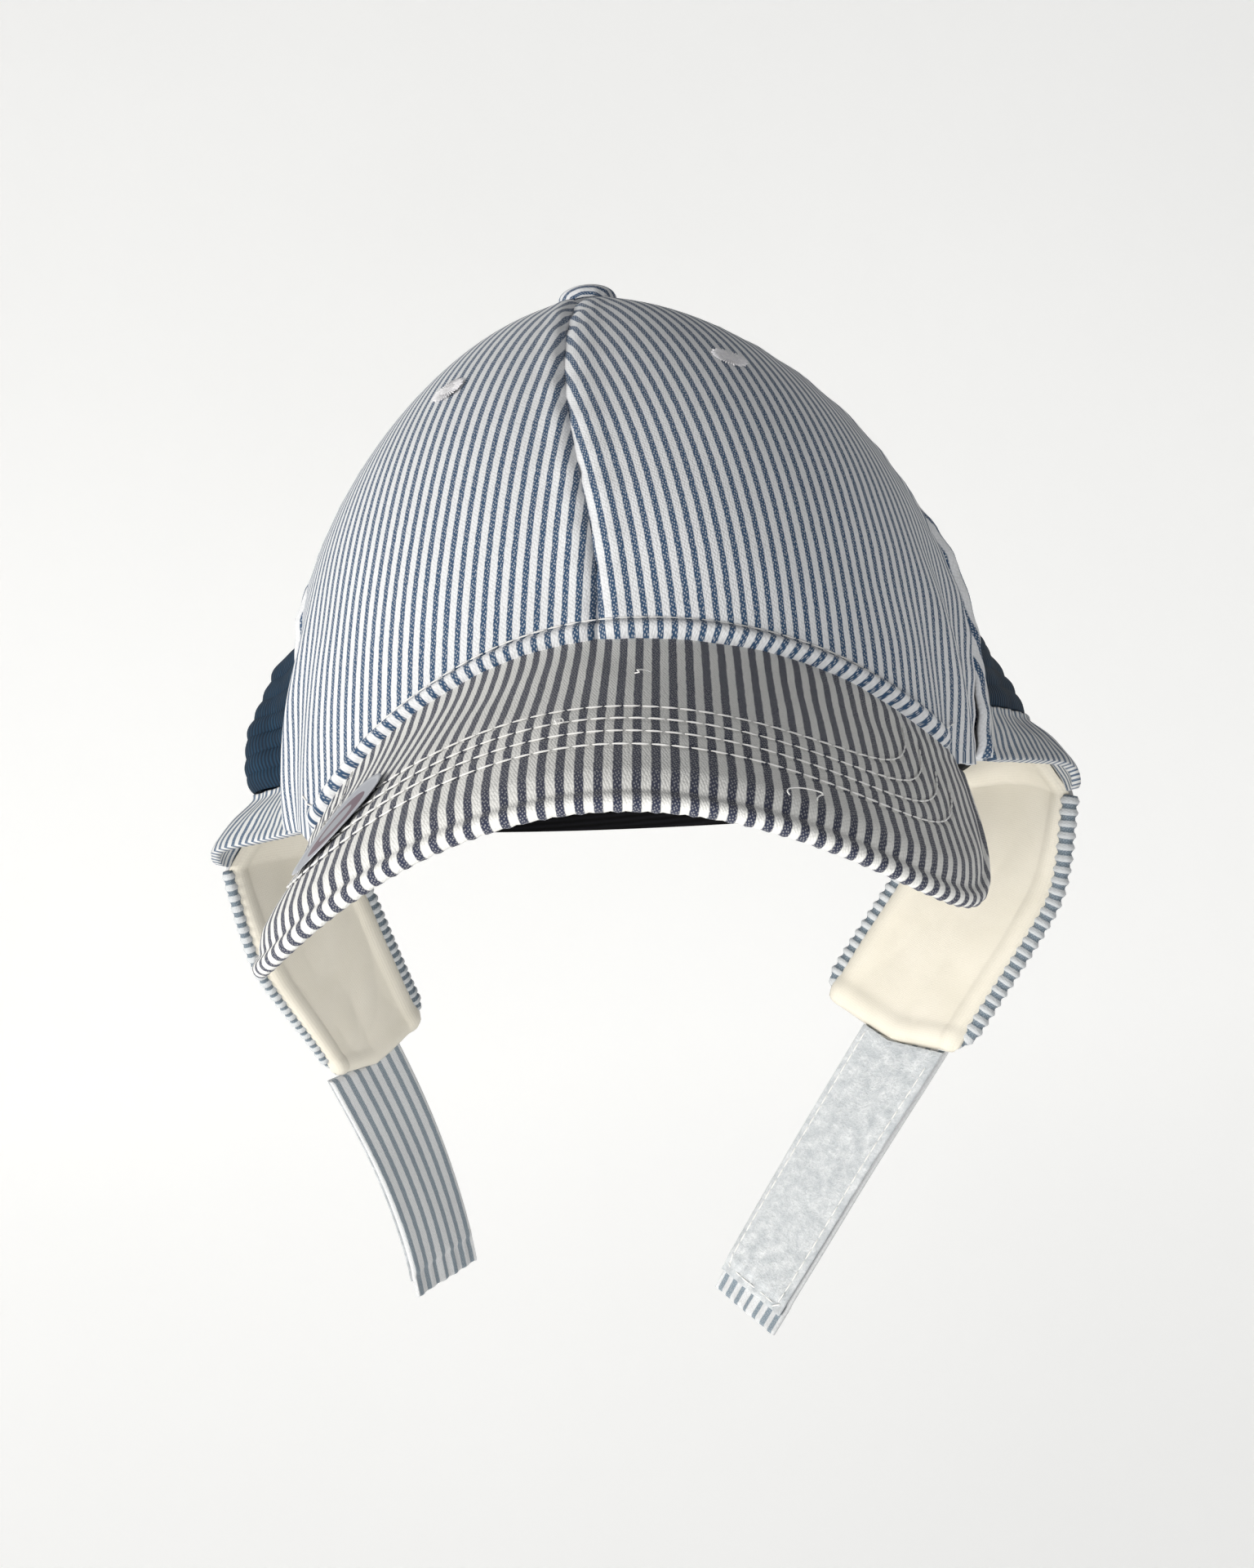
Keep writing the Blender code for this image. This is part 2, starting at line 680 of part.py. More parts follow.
def build_cap():
    for existing in list(bpy.data.objects):
        bpy.data.objects.remove(existing, do_unlink=True)
    collection = bpy.data.collections.new("ear_flap_cap")
    bpy.context.scene.collection.children.link(collection)
    roughness = {"foil": 0.3, "band": 0.8}
    finishes = {name: material(name, colour, roughness.get(name, 0.9)) for name, colour in COLOURS.items()}
    for side_name in SIDES:
        for place, first, last in zip(GORE_PLACES, SEAM_ANGLES, SEAM_ANGLES[1:]):
            build_gore(place, side_name, first, last, finishes["crown"], collection)
            build_eyelet(place, side_name, first, last, finishes["eyelet"], collection)
    build_button(finishes["button"], collection)
    build_peak(finishes["peak"], collection)
    build_sticker(finishes["foil"], collection)
    build_back_pieces(finishes["band"], finishes["crown"], collection)
    build_sweatband(finishes["sweatband"], collection)
    for side_name in SIDES:
        build_flap(side_name, finishes, collection)
        build_strap(side_name, finishes, collection)


build_cap()
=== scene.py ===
# Striped cotton cap with ear flaps: the finish of every piece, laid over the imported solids.
# Metres, +Z up, in the solids' own frame: the origin is the middle of the head opening, the peak is at -Y.
import math

import bmesh
import bpy
import numpy as np
from mathutils import Matrix, Vector, noise


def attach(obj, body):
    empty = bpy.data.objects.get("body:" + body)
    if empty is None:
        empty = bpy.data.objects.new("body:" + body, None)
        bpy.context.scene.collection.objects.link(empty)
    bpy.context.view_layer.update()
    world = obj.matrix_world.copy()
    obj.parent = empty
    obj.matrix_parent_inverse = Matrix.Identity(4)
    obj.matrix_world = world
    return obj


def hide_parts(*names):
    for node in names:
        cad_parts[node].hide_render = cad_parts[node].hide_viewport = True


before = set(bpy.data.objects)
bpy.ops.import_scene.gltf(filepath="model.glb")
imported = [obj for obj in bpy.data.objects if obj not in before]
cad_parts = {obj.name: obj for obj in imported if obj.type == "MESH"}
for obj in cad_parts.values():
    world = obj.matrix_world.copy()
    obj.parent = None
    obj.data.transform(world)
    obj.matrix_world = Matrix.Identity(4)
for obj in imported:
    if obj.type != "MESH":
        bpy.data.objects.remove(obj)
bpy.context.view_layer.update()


# The crown's form
# Six gores of cloth are sewn to a dome that is a rounded oval at the rim and comes in to a button.
# The same few sizes as the solids give every place on it: angle from the front, and height.
CROWN_HALF_WIDTH = 0.0780
CROWN_HALF_LENGTH = 0.0985
CROWN_HEIGHT = 0.1185
APEX_BACK = 0.0055
PLAN_POWER = 2.2
PROFILE_POWER = 2.4
PROFILE_ROOT = 1.43
CROWN_LEAN = 0.0022
TOP_HOLE_RADIUS = 0.004
CLOTH = 0.0016
SEAM_ANGLES = (0.0, 74.0, 128.0, 180.0)
GORE_PLACES = ("front", "side", "back")
SIDES = {"right": -1.0, "left": 1.0}


def smooth_step(t):
    t = min(max(t, 0.0), 1.0)
    return t * t * (3.0 - 2.0 * t)


def hump(distance, width):
    """Soft bell of height 1 at distance 0."""
    return math.exp(-((distance / width) ** 2))


def signed_power(value, power):
    return math.copysign(abs(value) ** power, value)


def plan_point(angle):
    turn = math.radians(angle)
    x = CROWN_HALF_WIDTH * signed_power(math.sin(turn), 2.0 / PLAN_POWER)
    y = -CROWN_HALF_LENGTH * signed_power(math.cos(turn), 2.0 / PLAN_POWER)
    return x, y


def plan_normal(angle):
    x, y = plan_point(angle)
    grow_x = signed_power(x / CROWN_HALF_WIDTH, PLAN_POWER - 1.0) / CROWN_HALF_WIDTH
    grow_y = signed_power(y / CROWN_HALF_LENGTH, PLAN_POWER - 1.0) / CROWN_HALF_LENGTH
    length = math.hypot(grow_x, grow_y)
    return Vector((grow_x / length, grow_y / length, 0.0))


def profile_share(z):
    height = min(max(z / CROWN_HEIGHT, 0.0), 1.0)
    return (1.0 - height**PROFILE_POWER) ** (1.0 / PROFILE_ROOT)


def crown_point(angle, z):
    share = profile_share(z)
    height = max(z, 0.0) / CROWN_HEIGHT
    x, y = plan_point(angle)
    return Vector((x * share + CROWN_LEAN * math.sin(math.pi * height), y * share + APEX_BACK * height, z))


def crown_normal(angle, z):
    step = 0.0004
    rise = crown_point(angle, z + step) - crown_point(angle, z - step)
    flat = plan_normal(angle)
    along = Vector((-flat.y, flat.x, 0.0))
    return along.cross(rise).normalized()


def top_ring_height():
    share = TOP_HOLE_RADIUS / CROWN_HALF_WIDTH
    return CROWN_HEIGHT * (1.0 - share**PROFILE_ROOT) ** (1.0 / PROFILE_POWER)


# Lengths along the rim from the front, and up the crown from the rim, which place the stripes on the cloth
PLAN_ANGLES = np.linspace(0.0, 180.0, 721)
PLAN_PLACES = np.array([plan_point(angle) for angle in PLAN_ANGLES])
PLAN_LENGTHS = np.concatenate(([0.0], np.cumsum(np.hypot(*np.diff(PLAN_PLACES, axis=0).T))))
RISE_HEIGHTS = np.linspace(0.0, top_ring_height(), 400)
MEAN_RADIUS = math.sqrt(CROWN_HALF_WIDTH * CROWN_HALF_LENGTH)
RISE_WIDTHS = np.array([MEAN_RADIUS * profile_share(z) for z in RISE_HEIGHTS])
RISE_LENGTHS = np.concatenate(([0.0], np.cumsum(np.hypot(np.diff(RISE_HEIGHTS), np.diff(RISE_WIDTHS)))))


def rim_length(angle):
    return float(np.interp(angle, PLAN_ANGLES, PLAN_LENGTHS))


def rise_length(z):
    return float(np.interp(z, RISE_HEIGHTS, RISE_LENGTHS))


# The peak's form
# A flat board covered in cloth, bent down at both sides and pitched forward from the crown's front seam.
# A place on it is an arc from its middle, a reach from the seam, and a depth under the top face.
PEAK_SEAM_HEIGHT = 0.0260
PEAK_PITCH = math.radians(29.5)
PEAK_BEND = math.radians(60.0)
PEAK_BEND_POWER = 1.37
PEAK_LENGTH = 0.070
PEAK_HALF_ARC = 0.089
PEAK_SEAM_HALF_ARC = 0.081
PEAK_OUTLINE_POWER = 3.2
PEAK_THICKNESS = 0.0042
CORNER_SAG = 0.0024
SEAM_CLEARANCE = 0.0005
SEAM_EASE = 0.050
SEAM_DIP = 0.0028
SEAM_SHIFT = 0.0050


def peak_bend():
    count = 240
    shares = np.linspace(0.0, 1.0, count + 1)
    slopes = PEAK_BEND * (1.0 - (1.0 - shares) ** PEAK_BEND_POWER)
    middles = (slopes[1:] + slopes[:-1]) / 2.0
    step = PEAK_HALF_ARC / count
    sides = np.concatenate(([0.0], np.cumsum(np.cos(middles) * step)))
    drops = np.concatenate(([0.0], np.cumsum(np.sin(middles) * step)))
    return shares * PEAK_HALF_ARC, sides, drops, slopes


BEND_ARCS, BEND_SIDES, BEND_DROPS, BEND_SLOPES = peak_bend()
PEAK_FORWARD = Vector((0.0, -math.cos(PEAK_PITCH), -math.sin(PEAK_PITCH)))
PEAK_UP = Vector((0.0, -math.sin(PEAK_PITCH), math.cos(PEAK_PITCH)))
PEAK_SEAM = Vector((0.0, -CROWN_HALF_LENGTH, PEAK_SEAM_HEIGHT))


def peak_point(arc, reach, depth=0.0):
    """The back edge sits a little askew: it dips in the middle and is set in on the wearer's right."""
    slope = np.interp(abs(arc), BEND_ARCS, BEND_SLOPES)
    near_seam = 1.0 - smooth_step(reach / SEAM_EASE)
    side = np.interp(abs(arc), BEND_ARCS, BEND_SIDES) - depth * math.sin(slope)
    drop = np.interp(abs(arc), BEND_ARCS, BEND_DROPS) + depth * math.cos(slope)
    drop += SEAM_DIP * hump(arc, 0.042) * near_seam
    shift = SEAM_SHIFT * smooth_step((0.012 - arc) / 0.055) * near_seam
    across = Vector((math.copysign(side, arc) + shift, 0.0, 0.0))
    return PEAK_SEAM + PEAK_FORWARD * reach + across - PEAK_UP * drop


def peak_seam_reach(arc, depth, clearance):
    """Reach at which the peak meets the crown's wall, with a clearance in front of it."""
    reach = 0.0
    for _ in range(6):
        place = peak_point(arc, reach, depth)
        share = profile_share(place.z)
        shift = crown_point(0.0, place.z) - Vector((0.0, -CROWN_HALF_LENGTH * share, place.z))
        side = min(abs(place.x - shift.x) / (CROWN_HALF_WIDTH * share + clearance), 0.999)
        wall = (CROWN_HALF_LENGTH * share + clearance) * (1.0 - side**PLAN_POWER) ** (1.0 / PLAN_POWER)
        reach += (place.y - shift.y + wall) / math.cos(PEAK_PITCH)
    return reach


def rim_table(side):
    """Angles and heights of the crown's lower edge on one side, where it covers the peak's back edge."""
    angles, heights = [], []
    for step in range(81):
        arc = side * PEAK_SEAM_HALF_ARC * step / 80
        reach = peak_seam_reach(arc, PEAK_THICKNESS, 0.0)
        across = min(max(side * peak_point(arc, reach).x / CROWN_HALF_WIDTH, 0.0), 1.0)
        angles.append(math.degrees(math.asin(across ** (PLAN_POWER / 2.0))))
        heights.append(peak_point(arc, reach, PEAK_THICKNESS).z)
    return angles, heights


RIM_TABLES = {side: rim_table(side) for side in (-1.0, 1.0)}
CORNER_ANGLES = {side: RIM_TABLES[side][0][-1] for side in (-1.0, 1.0)}


def rim_height(angle):
    """Height of the crown's lower edge at a signed angle: over the peak's back edge, then running level."""
    side = math.copysign(1.0, angle)
    corner = CORNER_ANGLES[side]
    meet = float(np.interp(min(abs(angle), corner), *RIM_TABLES[side]))
    level = smooth_step((abs(angle) - corner + 4.0) / 12.0)
    return meet * (1.0 - level) - CORNER_SAG * hump(abs(angle) - corner - 9.0, 6.0)


# Striped cotton
# Hickory-stripe twill: blue warp yarns in bands on white, with white flecks where the weft crosses them.
# The cloth's own UV map is in metres, across the stripes and along them.
STRIPE_PITCH = 0.00262
BLUE_SHARE = 0.46
THREAD_SPACING = 0.00045
YARN_WANDER = 0.00030
STRIPE_EDGE = 0.035


def linear(hex_colour):
    """An sRGB colour as hex, turned to linear light."""
    parts = [int(hex_colour[i:i + 2], 16) / 255.0 for i in (1, 3, 5)]
    return tuple(c / 12.92 if c <= 0.04045 else ((c + 0.055) / 1.055) ** 2.4 for c in parts) + (1.0,)


def add(tree, kind, inputs=None, **settings):
    """Add one node with its settings, and link or set its inputs."""
    made = tree.nodes.new(kind)
    for name, value in settings.items():
        setattr(made, name, value)
    for place, value in (inputs or {}).items():
        if isinstance(value, bpy.types.NodeSocket):
            tree.links.new(value, made.inputs[place])
        else:
            made.inputs[place].default_value = value
    return made


def new_finish(name, roughness, sheen=0.0, metallic=0.0):
    """A material with its surface shader, whose even values are set on the shader itself."""
    made = bpy.data.materials.new(name)
    made.use_nodes = True
    shader = made.node_tree.nodes["Principled BSDF"]
    shader.inputs["Roughness"].default_value = roughness
    shader.inputs["Metallic"].default_value = metallic
    shader.inputs["Sheen Weight"].default_value = sheen
    shader.inputs["Sheen Roughness"].default_value = 0.6
    return made, made.node_tree, shader


def striped_cotton(name, pitch, white, blue, fleck, blue_share=BLUE_SHARE):
    """Woven stripes: yarn flecks in the blue, a little wander in the stripes' edges, and a twill bump."""
    made, tree, shader = new_finish(name, 0.9, sheen=0.12)
    place = add(tree, "ShaderNodeUVMap", uv_map="cloth").outputs["UV"]
    across = add(tree, "ShaderNodeSeparateXYZ", {0: place}).outputs["X"]
    wander = add(tree, "ShaderNodeTexNoise", {"Vector": place, "Scale": 420.0, "Detail": 2.0})
    moved = add(
        tree, "ShaderNodeMath", {0: wander.outputs["Fac"], 1: YARN_WANDER, 2: across},
        operation="MULTIPLY_ADD",
    )
    phase = add(tree, "ShaderNodeMath", {0: moved.outputs[0], 1: pitch}, operation="DIVIDE")
    away = add(tree, "ShaderNodeMath", {0: phase.outputs[0], 1: 0.5}, operation="PINGPONG")
    in_blue = add(
        tree, "ShaderNodeMapRange",
        {
            "Value": away.outputs[0],
            "From Min": blue_share / 2.0 - STRIPE_EDGE,
            "From Max": blue_share / 2.0 + STRIPE_EDGE,
            "To Min": 1.0,
            "To Max": 0.0,
        },
    )
    twill = add(
        tree, "ShaderNodeMapping", {"Vector": place, "Rotation": (0.0, 0.0, 0.5), "Scale": (1.0, 0.62, 1.0)},
    )
    threads = add(
        tree, "ShaderNodeTexVoronoi",
        {"Vector": twill.outputs[0], "Scale": 1.0 / THREAD_SPACING, "Randomness": 0.45},
        voronoi_dimensions="2D",
    )
    flecks = add(
        tree, "ShaderNodeMapRange",
        {
            "Value": threads.outputs["Distance"], "From Min": 0.16, "From Max": 0.34,
            "To Min": fleck, "To Max": 0.0,
        },
    )
    yarn = add(
        tree, "ShaderNodeMix", {0: flecks.outputs[0], 6: linear(blue), 7: linear(white)}, data_type="RGBA",
    )
    grain = add(
        tree, "ShaderNodeMapRange",
        {
            "Value": threads.outputs["Distance"], "From Min": 0.2, "From Max": 0.75,
            "To Min": 1.0, "To Max": 0.86,
        },
    )
    pale = add(
        tree, "ShaderNodeVectorMath", {0: linear(white)[:3], "Scale": grain.outputs[0]}, operation="SCALE",
    )
    cloth = add(
        tree, "ShaderNodeMix", {0: in_blue.outputs[0], 6: pale.outputs[0], 7: yarn.outputs[2]},
        data_type="RGBA",
    )
    tone = add(tree, "ShaderNodeTexNoise", {"Vector": place, "Scale": 55.0, "Detail": 3.0})
    worn = add(
        tree, "ShaderNodeMapRange",
        {"Value": tone.outputs["Fac"], "From Min": 0.3, "From Max": 0.7, "To Min": 0.95},
    )
    shaded = add(
        tree, "ShaderNodeVectorMath", {0: cloth.outputs[2], "Scale": worn.outputs[0]}, operation="SCALE",
    )
    tree.links.new(shaded.outputs[0], shader.inputs["Base Color"])
    bump = add(
        tree, "ShaderNodeBump",
        {"Height": threads.outputs["Distance"], "Strength": 0.35, "Distance": 0.0003}, invert=True,
    )
    tree.links.new(bump.outputs[0], shader.inputs["Normal"])
    return made


CROWN_CLOTH = striped_cotton("hickory_stripe_cotton", STRIPE_PITCH, "#e6e7e9", "#274869", 0.55)


def lay_cloth(name, points, places, finish, thickness, turned=False, left_out=None, offset=-1.0):
    """A sheet of cloth from rows of points and their places on the cloth, given its thickness inwards."""
    rows, columns = len(points), len(points[0])
    faces = []
    for i in range(rows - 1):
        for j in range(columns - 1):
            if left_out and left_out(i, j):
                continue
            corner = i * columns + j
            face = (corner, corner + 1, corner + columns + 1, corner + columns)
            faces.append(face[::-1] if turned else face)
    mesh = bpy.data.meshes.new(name)
    mesh.from_pydata([tuple(p) for row in points for p in row], [], faces)
    cloth = mesh.uv_layers.new(name="cloth")
    flat = [uv for row in places for uv in row]
    corners = np.empty(len(mesh.loops), dtype=np.int32)
    mesh.loops.foreach_get("vertex_index", corners)
    cloth.data.foreach_set("uv", np.array(flat, dtype=np.float32)[corners].ravel())
    mesh.materials.append(finish)
    clean = bmesh.new()
    clean.from_mesh(mesh)
    bmesh.ops.delete(clean, geom=[v for v in clean.verts if not v.link_faces], context="VERTS")
    clean.to_mesh(mesh)
    clean.free()
    mesh.shade_smooth()
    made = bpy.data.objects.new(name, mesh)
    bpy.context.scene.collection.objects.link(made)
    wall = made.modifiers.new("wall", "SOLIDIFY")
    wall.thickness = thickness
    wall.offset = offset
    wall.use_even_offset = False
    return made


def keep(made, slot_name, *nodes):
    """The piece rides on the cap, and stands for the solids it replaces. slot_name is not used."""
    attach(made, "root")
    if nodes:
        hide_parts(*nodes)
    return made


# The crown's gores
# Each gore is one cut panel whose stripes run up its own middle, so they meet the next gore's in a point.
# Its edges sink into the seams, and the two front gores end below in a rolled welt over the peak.
ROLL_START = PEAK_THICKNESS - 0.0004
ROLL_HEIGHT = 0.0044
ROLL_SWELL = 0.0025
ROLL_GROOVE = 0.0004
FRONT_GRAIN = 0.033
SEAM_LEAN = -4.0
BAND_TOP = 0.048
BAND_START = 81.0
SEAM_SINK = 0.0009
SEAM_PUFF = 0.00035
PUCKER = 0.00022
PUCKER_SPACING = 0.0085
SOFT_FOLDS = 0.0011
SIDE_FOLDS = 0.0012
STRIP_FOLDS = 0.0021
BAND_LEDGE = 0.0007
WELT_SLANT = 0.62
CRUMPLE = 0.0012
STRIP_WANDER = 0.0007
TUCK = 0.0062


def tuck(angle, z):
    """How far the elastic draws the cloth in, low down in front of the band on the wearer's right."""
    if angle > 0.0:
        return 0.0
    turn = smooth_step((-angle - 60.0) / 14.0) * (1.0 - smooth_step((-angle - 88.0) / 10.0))
    return TUCK * turn * (1.0 - smooth_step((z - 0.016) / 0.040))


def roll_fade(angle):
    """1 along the peak's seam, easing to 0 where the seam ends."""
    return 1.0 - smooth_step((abs(angle) - CORNER_ANGLES[math.copysign(1.0, angle)] + 3.0) / 5.0)


def crown_relief(place, side, angle, z, edge, above):
    """How far the cloth stands out from the plain dome: seams, puckers, folds and the welt."""
    out = -SEAM_SINK * hump(edge, 0.0013) + SEAM_PUFF * hump(edge - 0.0036, 0.0022)
    uneven = 3.0 * noise.noise((angle * 0.05, z * 60.0, side))
    out += PUCKER * math.sin(2.0 * math.pi * z / PUCKER_SPACING + uneven) * hump(edge, 0.006)
    lower = 1.0 - smooth_step((z - 0.03) / 0.05)
    soft = noise.noise((side * angle * 0.035, z * 26.0, 4.0))
    out += soft * SOFT_FOLDS * (0.35 + 0.65 * lower) * min(edge / 0.008, 1.0)
    if place == "front":
        fade = roll_fade(side * angle)
        t = (above - ROLL_START) / ROLL_HEIGHT
        if 0.0 < t < 1.0:
            out += ROLL_SWELL * math.sin(math.pi * t) ** 0.6 * fade
        out -= ROLL_GROOVE * hump(above - ROLL_START - ROLL_HEIGHT, 0.0007) * fade
        near_side = smooth_step((angle - 46.0) / 18.0) * smooth_step((0.052 - z) / 0.03)
        out += SIDE_FOLDS * near_side * math.sin((angle - 46.0) * 0.42 + z * 90.0)
    elif place == "side":
        strip = (1.0 - smooth_step((angle - 82.0) / 5.0)) * smooth_step((0.062 - z) / 0.02)
        out += STRIP_FOLDS * strip * math.sin((angle - 74.0) * 0.95 + 0.9 * math.sin(z * 130.0))
        out += BAND_LEDGE * hump(z - BAND_TOP, 0.0025) * (1.0 if angle > BAND_START else 0.0)
    else:
        out += BAND_LEDGE * hump(z - BAND_TOP, 0.0025)
    return out - tuck(side * angle, z)


def gore_heights(base, top, rows, welt_rows):
    """Heights up one line of a gore: close together over the welt, then easing to the top."""
    welt_top = base + ROLL_START + ROLL_HEIGHT + 0.0012
    low = [base + (welt_top - base) * i / welt_rows for i in range(welt_rows)]
    count = rows - welt_rows
    return low + [welt_top + (top - welt_top) * (1.0 - (1.0 - i / count) ** 1.3) for i in range(count + 1)]


def build_gore(place, side_name, first, last):
    side = SIDES[side_name]
    top = top_ring_height()
    middle_length = FRONT_GRAIN if place == "front" else (rim_length(first) + rim_length(last)) / 2.0
    columns = {"front": 96, "side": 72, "back": 64}[place]
    rows, welt_rows = (96, 22) if place == "front" else (84, 8)
    strip_columns, strip_rows = 14, 34
    points, places = [[] for _ in range(rows + 1)], [[] for _ in range(rows + 1)]
    for j in range(columns + 1):
        if place == "side":
            angle = float(np.interp(j, (0, strip_columns, columns), (first, BAND_START, last)))
        else:
            angle = first + (last - first) * j / columns
        base = BAND_TOP - 0.0006 if place == "back" else rim_height(side * angle)
        if place == "front":
            heights = gore_heights(base, top, rows, welt_rows)
        elif place == "side":
            low = [base + (BAND_TOP - 0.0006 - base) * i / strip_rows for i in range(strip_rows)]
            count = rows - strip_rows
            shares = [1.0 - (1.0 - i / count) ** 1.3 for i in range(count + 1)]
            heights = low + [BAND_TOP - 0.0006 + (top - BAND_TOP) * part for part in shares]
        else:
            heights = [base + (top - base) * (1.0 - (1.0 - i / rows) ** 1.3) for i in range(rows + 1)]
        before_corner = 1.0 - smooth_step((angle - CORNER_ANGLES[side] + 14.0) / 11.0)
        slope = WELT_SLANT * smooth_step(angle / 30.0) * before_corner
        for i, z in enumerate(heights):
            share = profile_share(z)
            edge = min(rim_length(angle) - rim_length(first), rim_length(last) - rim_length(angle)) * share
            above = z - base
            out = crown_relief(place, side, angle, z, edge, above)
            turned = side * angle
            if place == "front":
                turned += SEAM_LEAN * smooth_step((z - 0.035) / 0.06) * (1.0 - angle / last)
            points[i].append(crown_point(turned, z) + crown_normal(turned, z) * out)
            leant = side * turned
            across = (math.copysign(rim_length(abs(leant)), leant) - middle_length) * share
            if place == "front":
                under = max(0.0, ROLL_START + ROLL_HEIGHT - above)
                across += under * slope * 1.1
                crumpled = smooth_step((angle - 30.0) / 30.0) * (1.0 - smooth_step((z - 0.03) / 0.04))
                across += CRUMPLE * crumpled * noise.noise((side * angle * 0.07, z * 75.0, 9.0))
            if place == "side":
                strip = (1.0 - smooth_step((angle - 84.0) / 8.0)) * smooth_step((0.07 - z) / 0.03)
                across += STRIP_WANDER * strip * math.sin(z * 150.0 + angle * 0.3)
            places[i].append((side * across, rise_length(z)))

    def left_out(i, j):
        return place == "side" and i < strip_rows and j >= strip_columns

    name = f"gore_{place}_{side_name}"
    made = lay_cloth(name, points, places, CROWN_CLOTH, CLOTH, turned=side < 0.0, left_out=left_out)
    keep(made, "striped_cotton", f"crown_{place}_{side_name}")


for side_name in SIDES:
    for place, first, last in zip(GORE_PLACES, SEAM_ANGLES, SEAM_ANGLES[1:]):
        build_gore(place, side_name, first, last)


# Stitching
# White cotton thread, a little sunk, in separate stitches that lie end to end along a sewn line.
# One tree makes every row: it cuts the line to the pitch of the stitches, and lays a slim grain at each.
STITCH_LENGTH = 0.0030
STITCH_PITCH = 0.0031
THREAD_WIDTH = 0.00038


def thread_finish(name, colour):
    """Mercerised cotton thread: even in colour, finely twisted, with a soft sheen."""
    made, tree, shader = new_finish(name, 0.6, sheen=0.25)
    place = add(tree, "ShaderNodeTexCoord").outputs["Object"]
    twist = add(tree, "ShaderNodeTexNoise", {"Vector": place, "Scale": 2600.0, "Detail": 1.0})
    tint = add(
        tree, "ShaderNodeMix", {0: twist.outputs["Fac"], 6: linear(colour), 7: linear("#fbfaf7")},
        data_type="RGBA",
    )
    tree.links.new(tint.outputs[2], shader.inputs["Base Color"])
    bump = add(tree, "ShaderNodeBump", {"Height": twist.outputs["Fac"], "Strength": 0.4, "Distance": 0.0001})
    tree.links.new(bump.outputs[0], shader.inputs["Normal"])
    return made


WHITE_THREAD = thread_finish("cotton_topstitch_thread", "#e4e3e0")


def stitch_tree():
    tree = bpy.data.node_groups.new("stitch_row", "GeometryNodeTree")
    face = tree.interface
    face.new_socket("Geometry", in_out="INPUT", socket_type="NodeSocketGeometry")
    for label in ("Stitch length", "Stitch pitch", "Thread width"):
        face.new_socket(label, in_out="INPUT", socket_type="NodeSocketFloat")
    face.new_socket("Thread", in_out="INPUT", socket_type="NodeSocketMaterial")
    face.new_socket("Geometry", in_out="OUTPUT", socket_type="NodeSocketGeometry")
    given = add(tree, "NodeGroupInput").outputs
    line = add(tree, "GeometryNodeMeshToCurve", {"Mesh": given["Geometry"]})
    cut = add(
        tree, "GeometryNodeResampleCurve", {"Curve": line.outputs[0], "Length": given["Stitch pitch"]},
        mode="LENGTH",
    )
    grain = add(tree, "GeometryNodeMeshUVSphere", {"Segments": 6, "Rings": 5, "Radius": 0.5})
    size = add(
        tree, "ShaderNodeCombineXYZ",
        {0: given["Thread width"], 1: given["Thread width"], 2: given["Stitch length"]},
    )
    tangent = add(tree, "GeometryNodeInputTangent")
    turn = add(tree, "FunctionNodeAlignRotationToVector", {"Vector": tangent.outputs[0]}, axis="Z")
    laid = add(
        tree, "GeometryNodeInstanceOnPoints",
        {
            "Points": cut.outputs[0], "Instance": grain.outputs[0],
            "Rotation": turn.outputs[0], "Scale": size.outputs[0],
        },
    )
    real = add(tree, "GeometryNodeRealizeInstances", {0: laid.outputs[0]})
    smooth = add(tree, "GeometryNodeSetShadeSmooth", {0: real.outputs[0]})
    dyed = add(tree, "GeometryNodeSetMaterial", {"Geometry": smooth.outputs[0], "Material": given["Thread"]})
    add(tree, "NodeGroupOutput", {0: dyed.outputs[0]})
    return tree


STITCHES = stitch_tree()


def made_plain(host, name):
    """The evaluated piece as a plain mesh, with its host removed."""
    bpy.context.view_layer.update()
    seen = host.evaluated_get(bpy.context.evaluated_depsgraph_get())
    mesh = bpy.data.meshes.new_from_object(seen)
    mesh.name = name
    bpy.data.objects.remove(host, do_unlink=True)
    made = bpy.data.objects.new(name, mesh)
    bpy.context.scene.collection.objects.link(made)
    return made


def sew(
    name, lines, slot_name,
    length=STITCH_LENGTH, pitch=STITCH_PITCH, width=THREAD_WIDTH, thread=WHITE_THREAD,
):
    """Rows of stitches along lines of points."""
    points, edges = [], []
    for line in lines:
        edges += [(len(points) + i, len(points) + i + 1) for i in range(len(line) - 1)]
        points += [tuple(p) for p in line]
    mesh = bpy.data.meshes.new(name)
    mesh.from_pydata(points, edges, [])
    host = bpy.data.objects.new(name + "_line", mesh)
    bpy.context.scene.collection.objects.link(host)
    rows = host.modifiers.new("stitches", "NODES")
    rows.node_group = STITCHES
    values = {"Stitch length": length, "Stitch pitch": pitch, "Thread width": width, "Thread": thread}
    for socket in STITCHES.interface.items_tree:
        if socket.in_out == "INPUT" and socket.name in values:
            rows[socket.identifier] = values[socket.name]
    return keep(made_plain(host, name), slot_name)


WELT_STITCH_ABOVE = ROLL_START + ROLL_HEIGHT + 0.0003
welt_line = []
for step in range(-150, 151):
    angle = CORNER_ANGLES[math.copysign(1.0, step)] * 1.04 * step / 150
    z = rim_height(angle) + WELT_STITCH_ABOVE
    welt_line.append(crown_point(angle, z) + crown_normal(angle, z) * 0.0002)
sew("welt_topstitch", [welt_line], "striped_cotton")


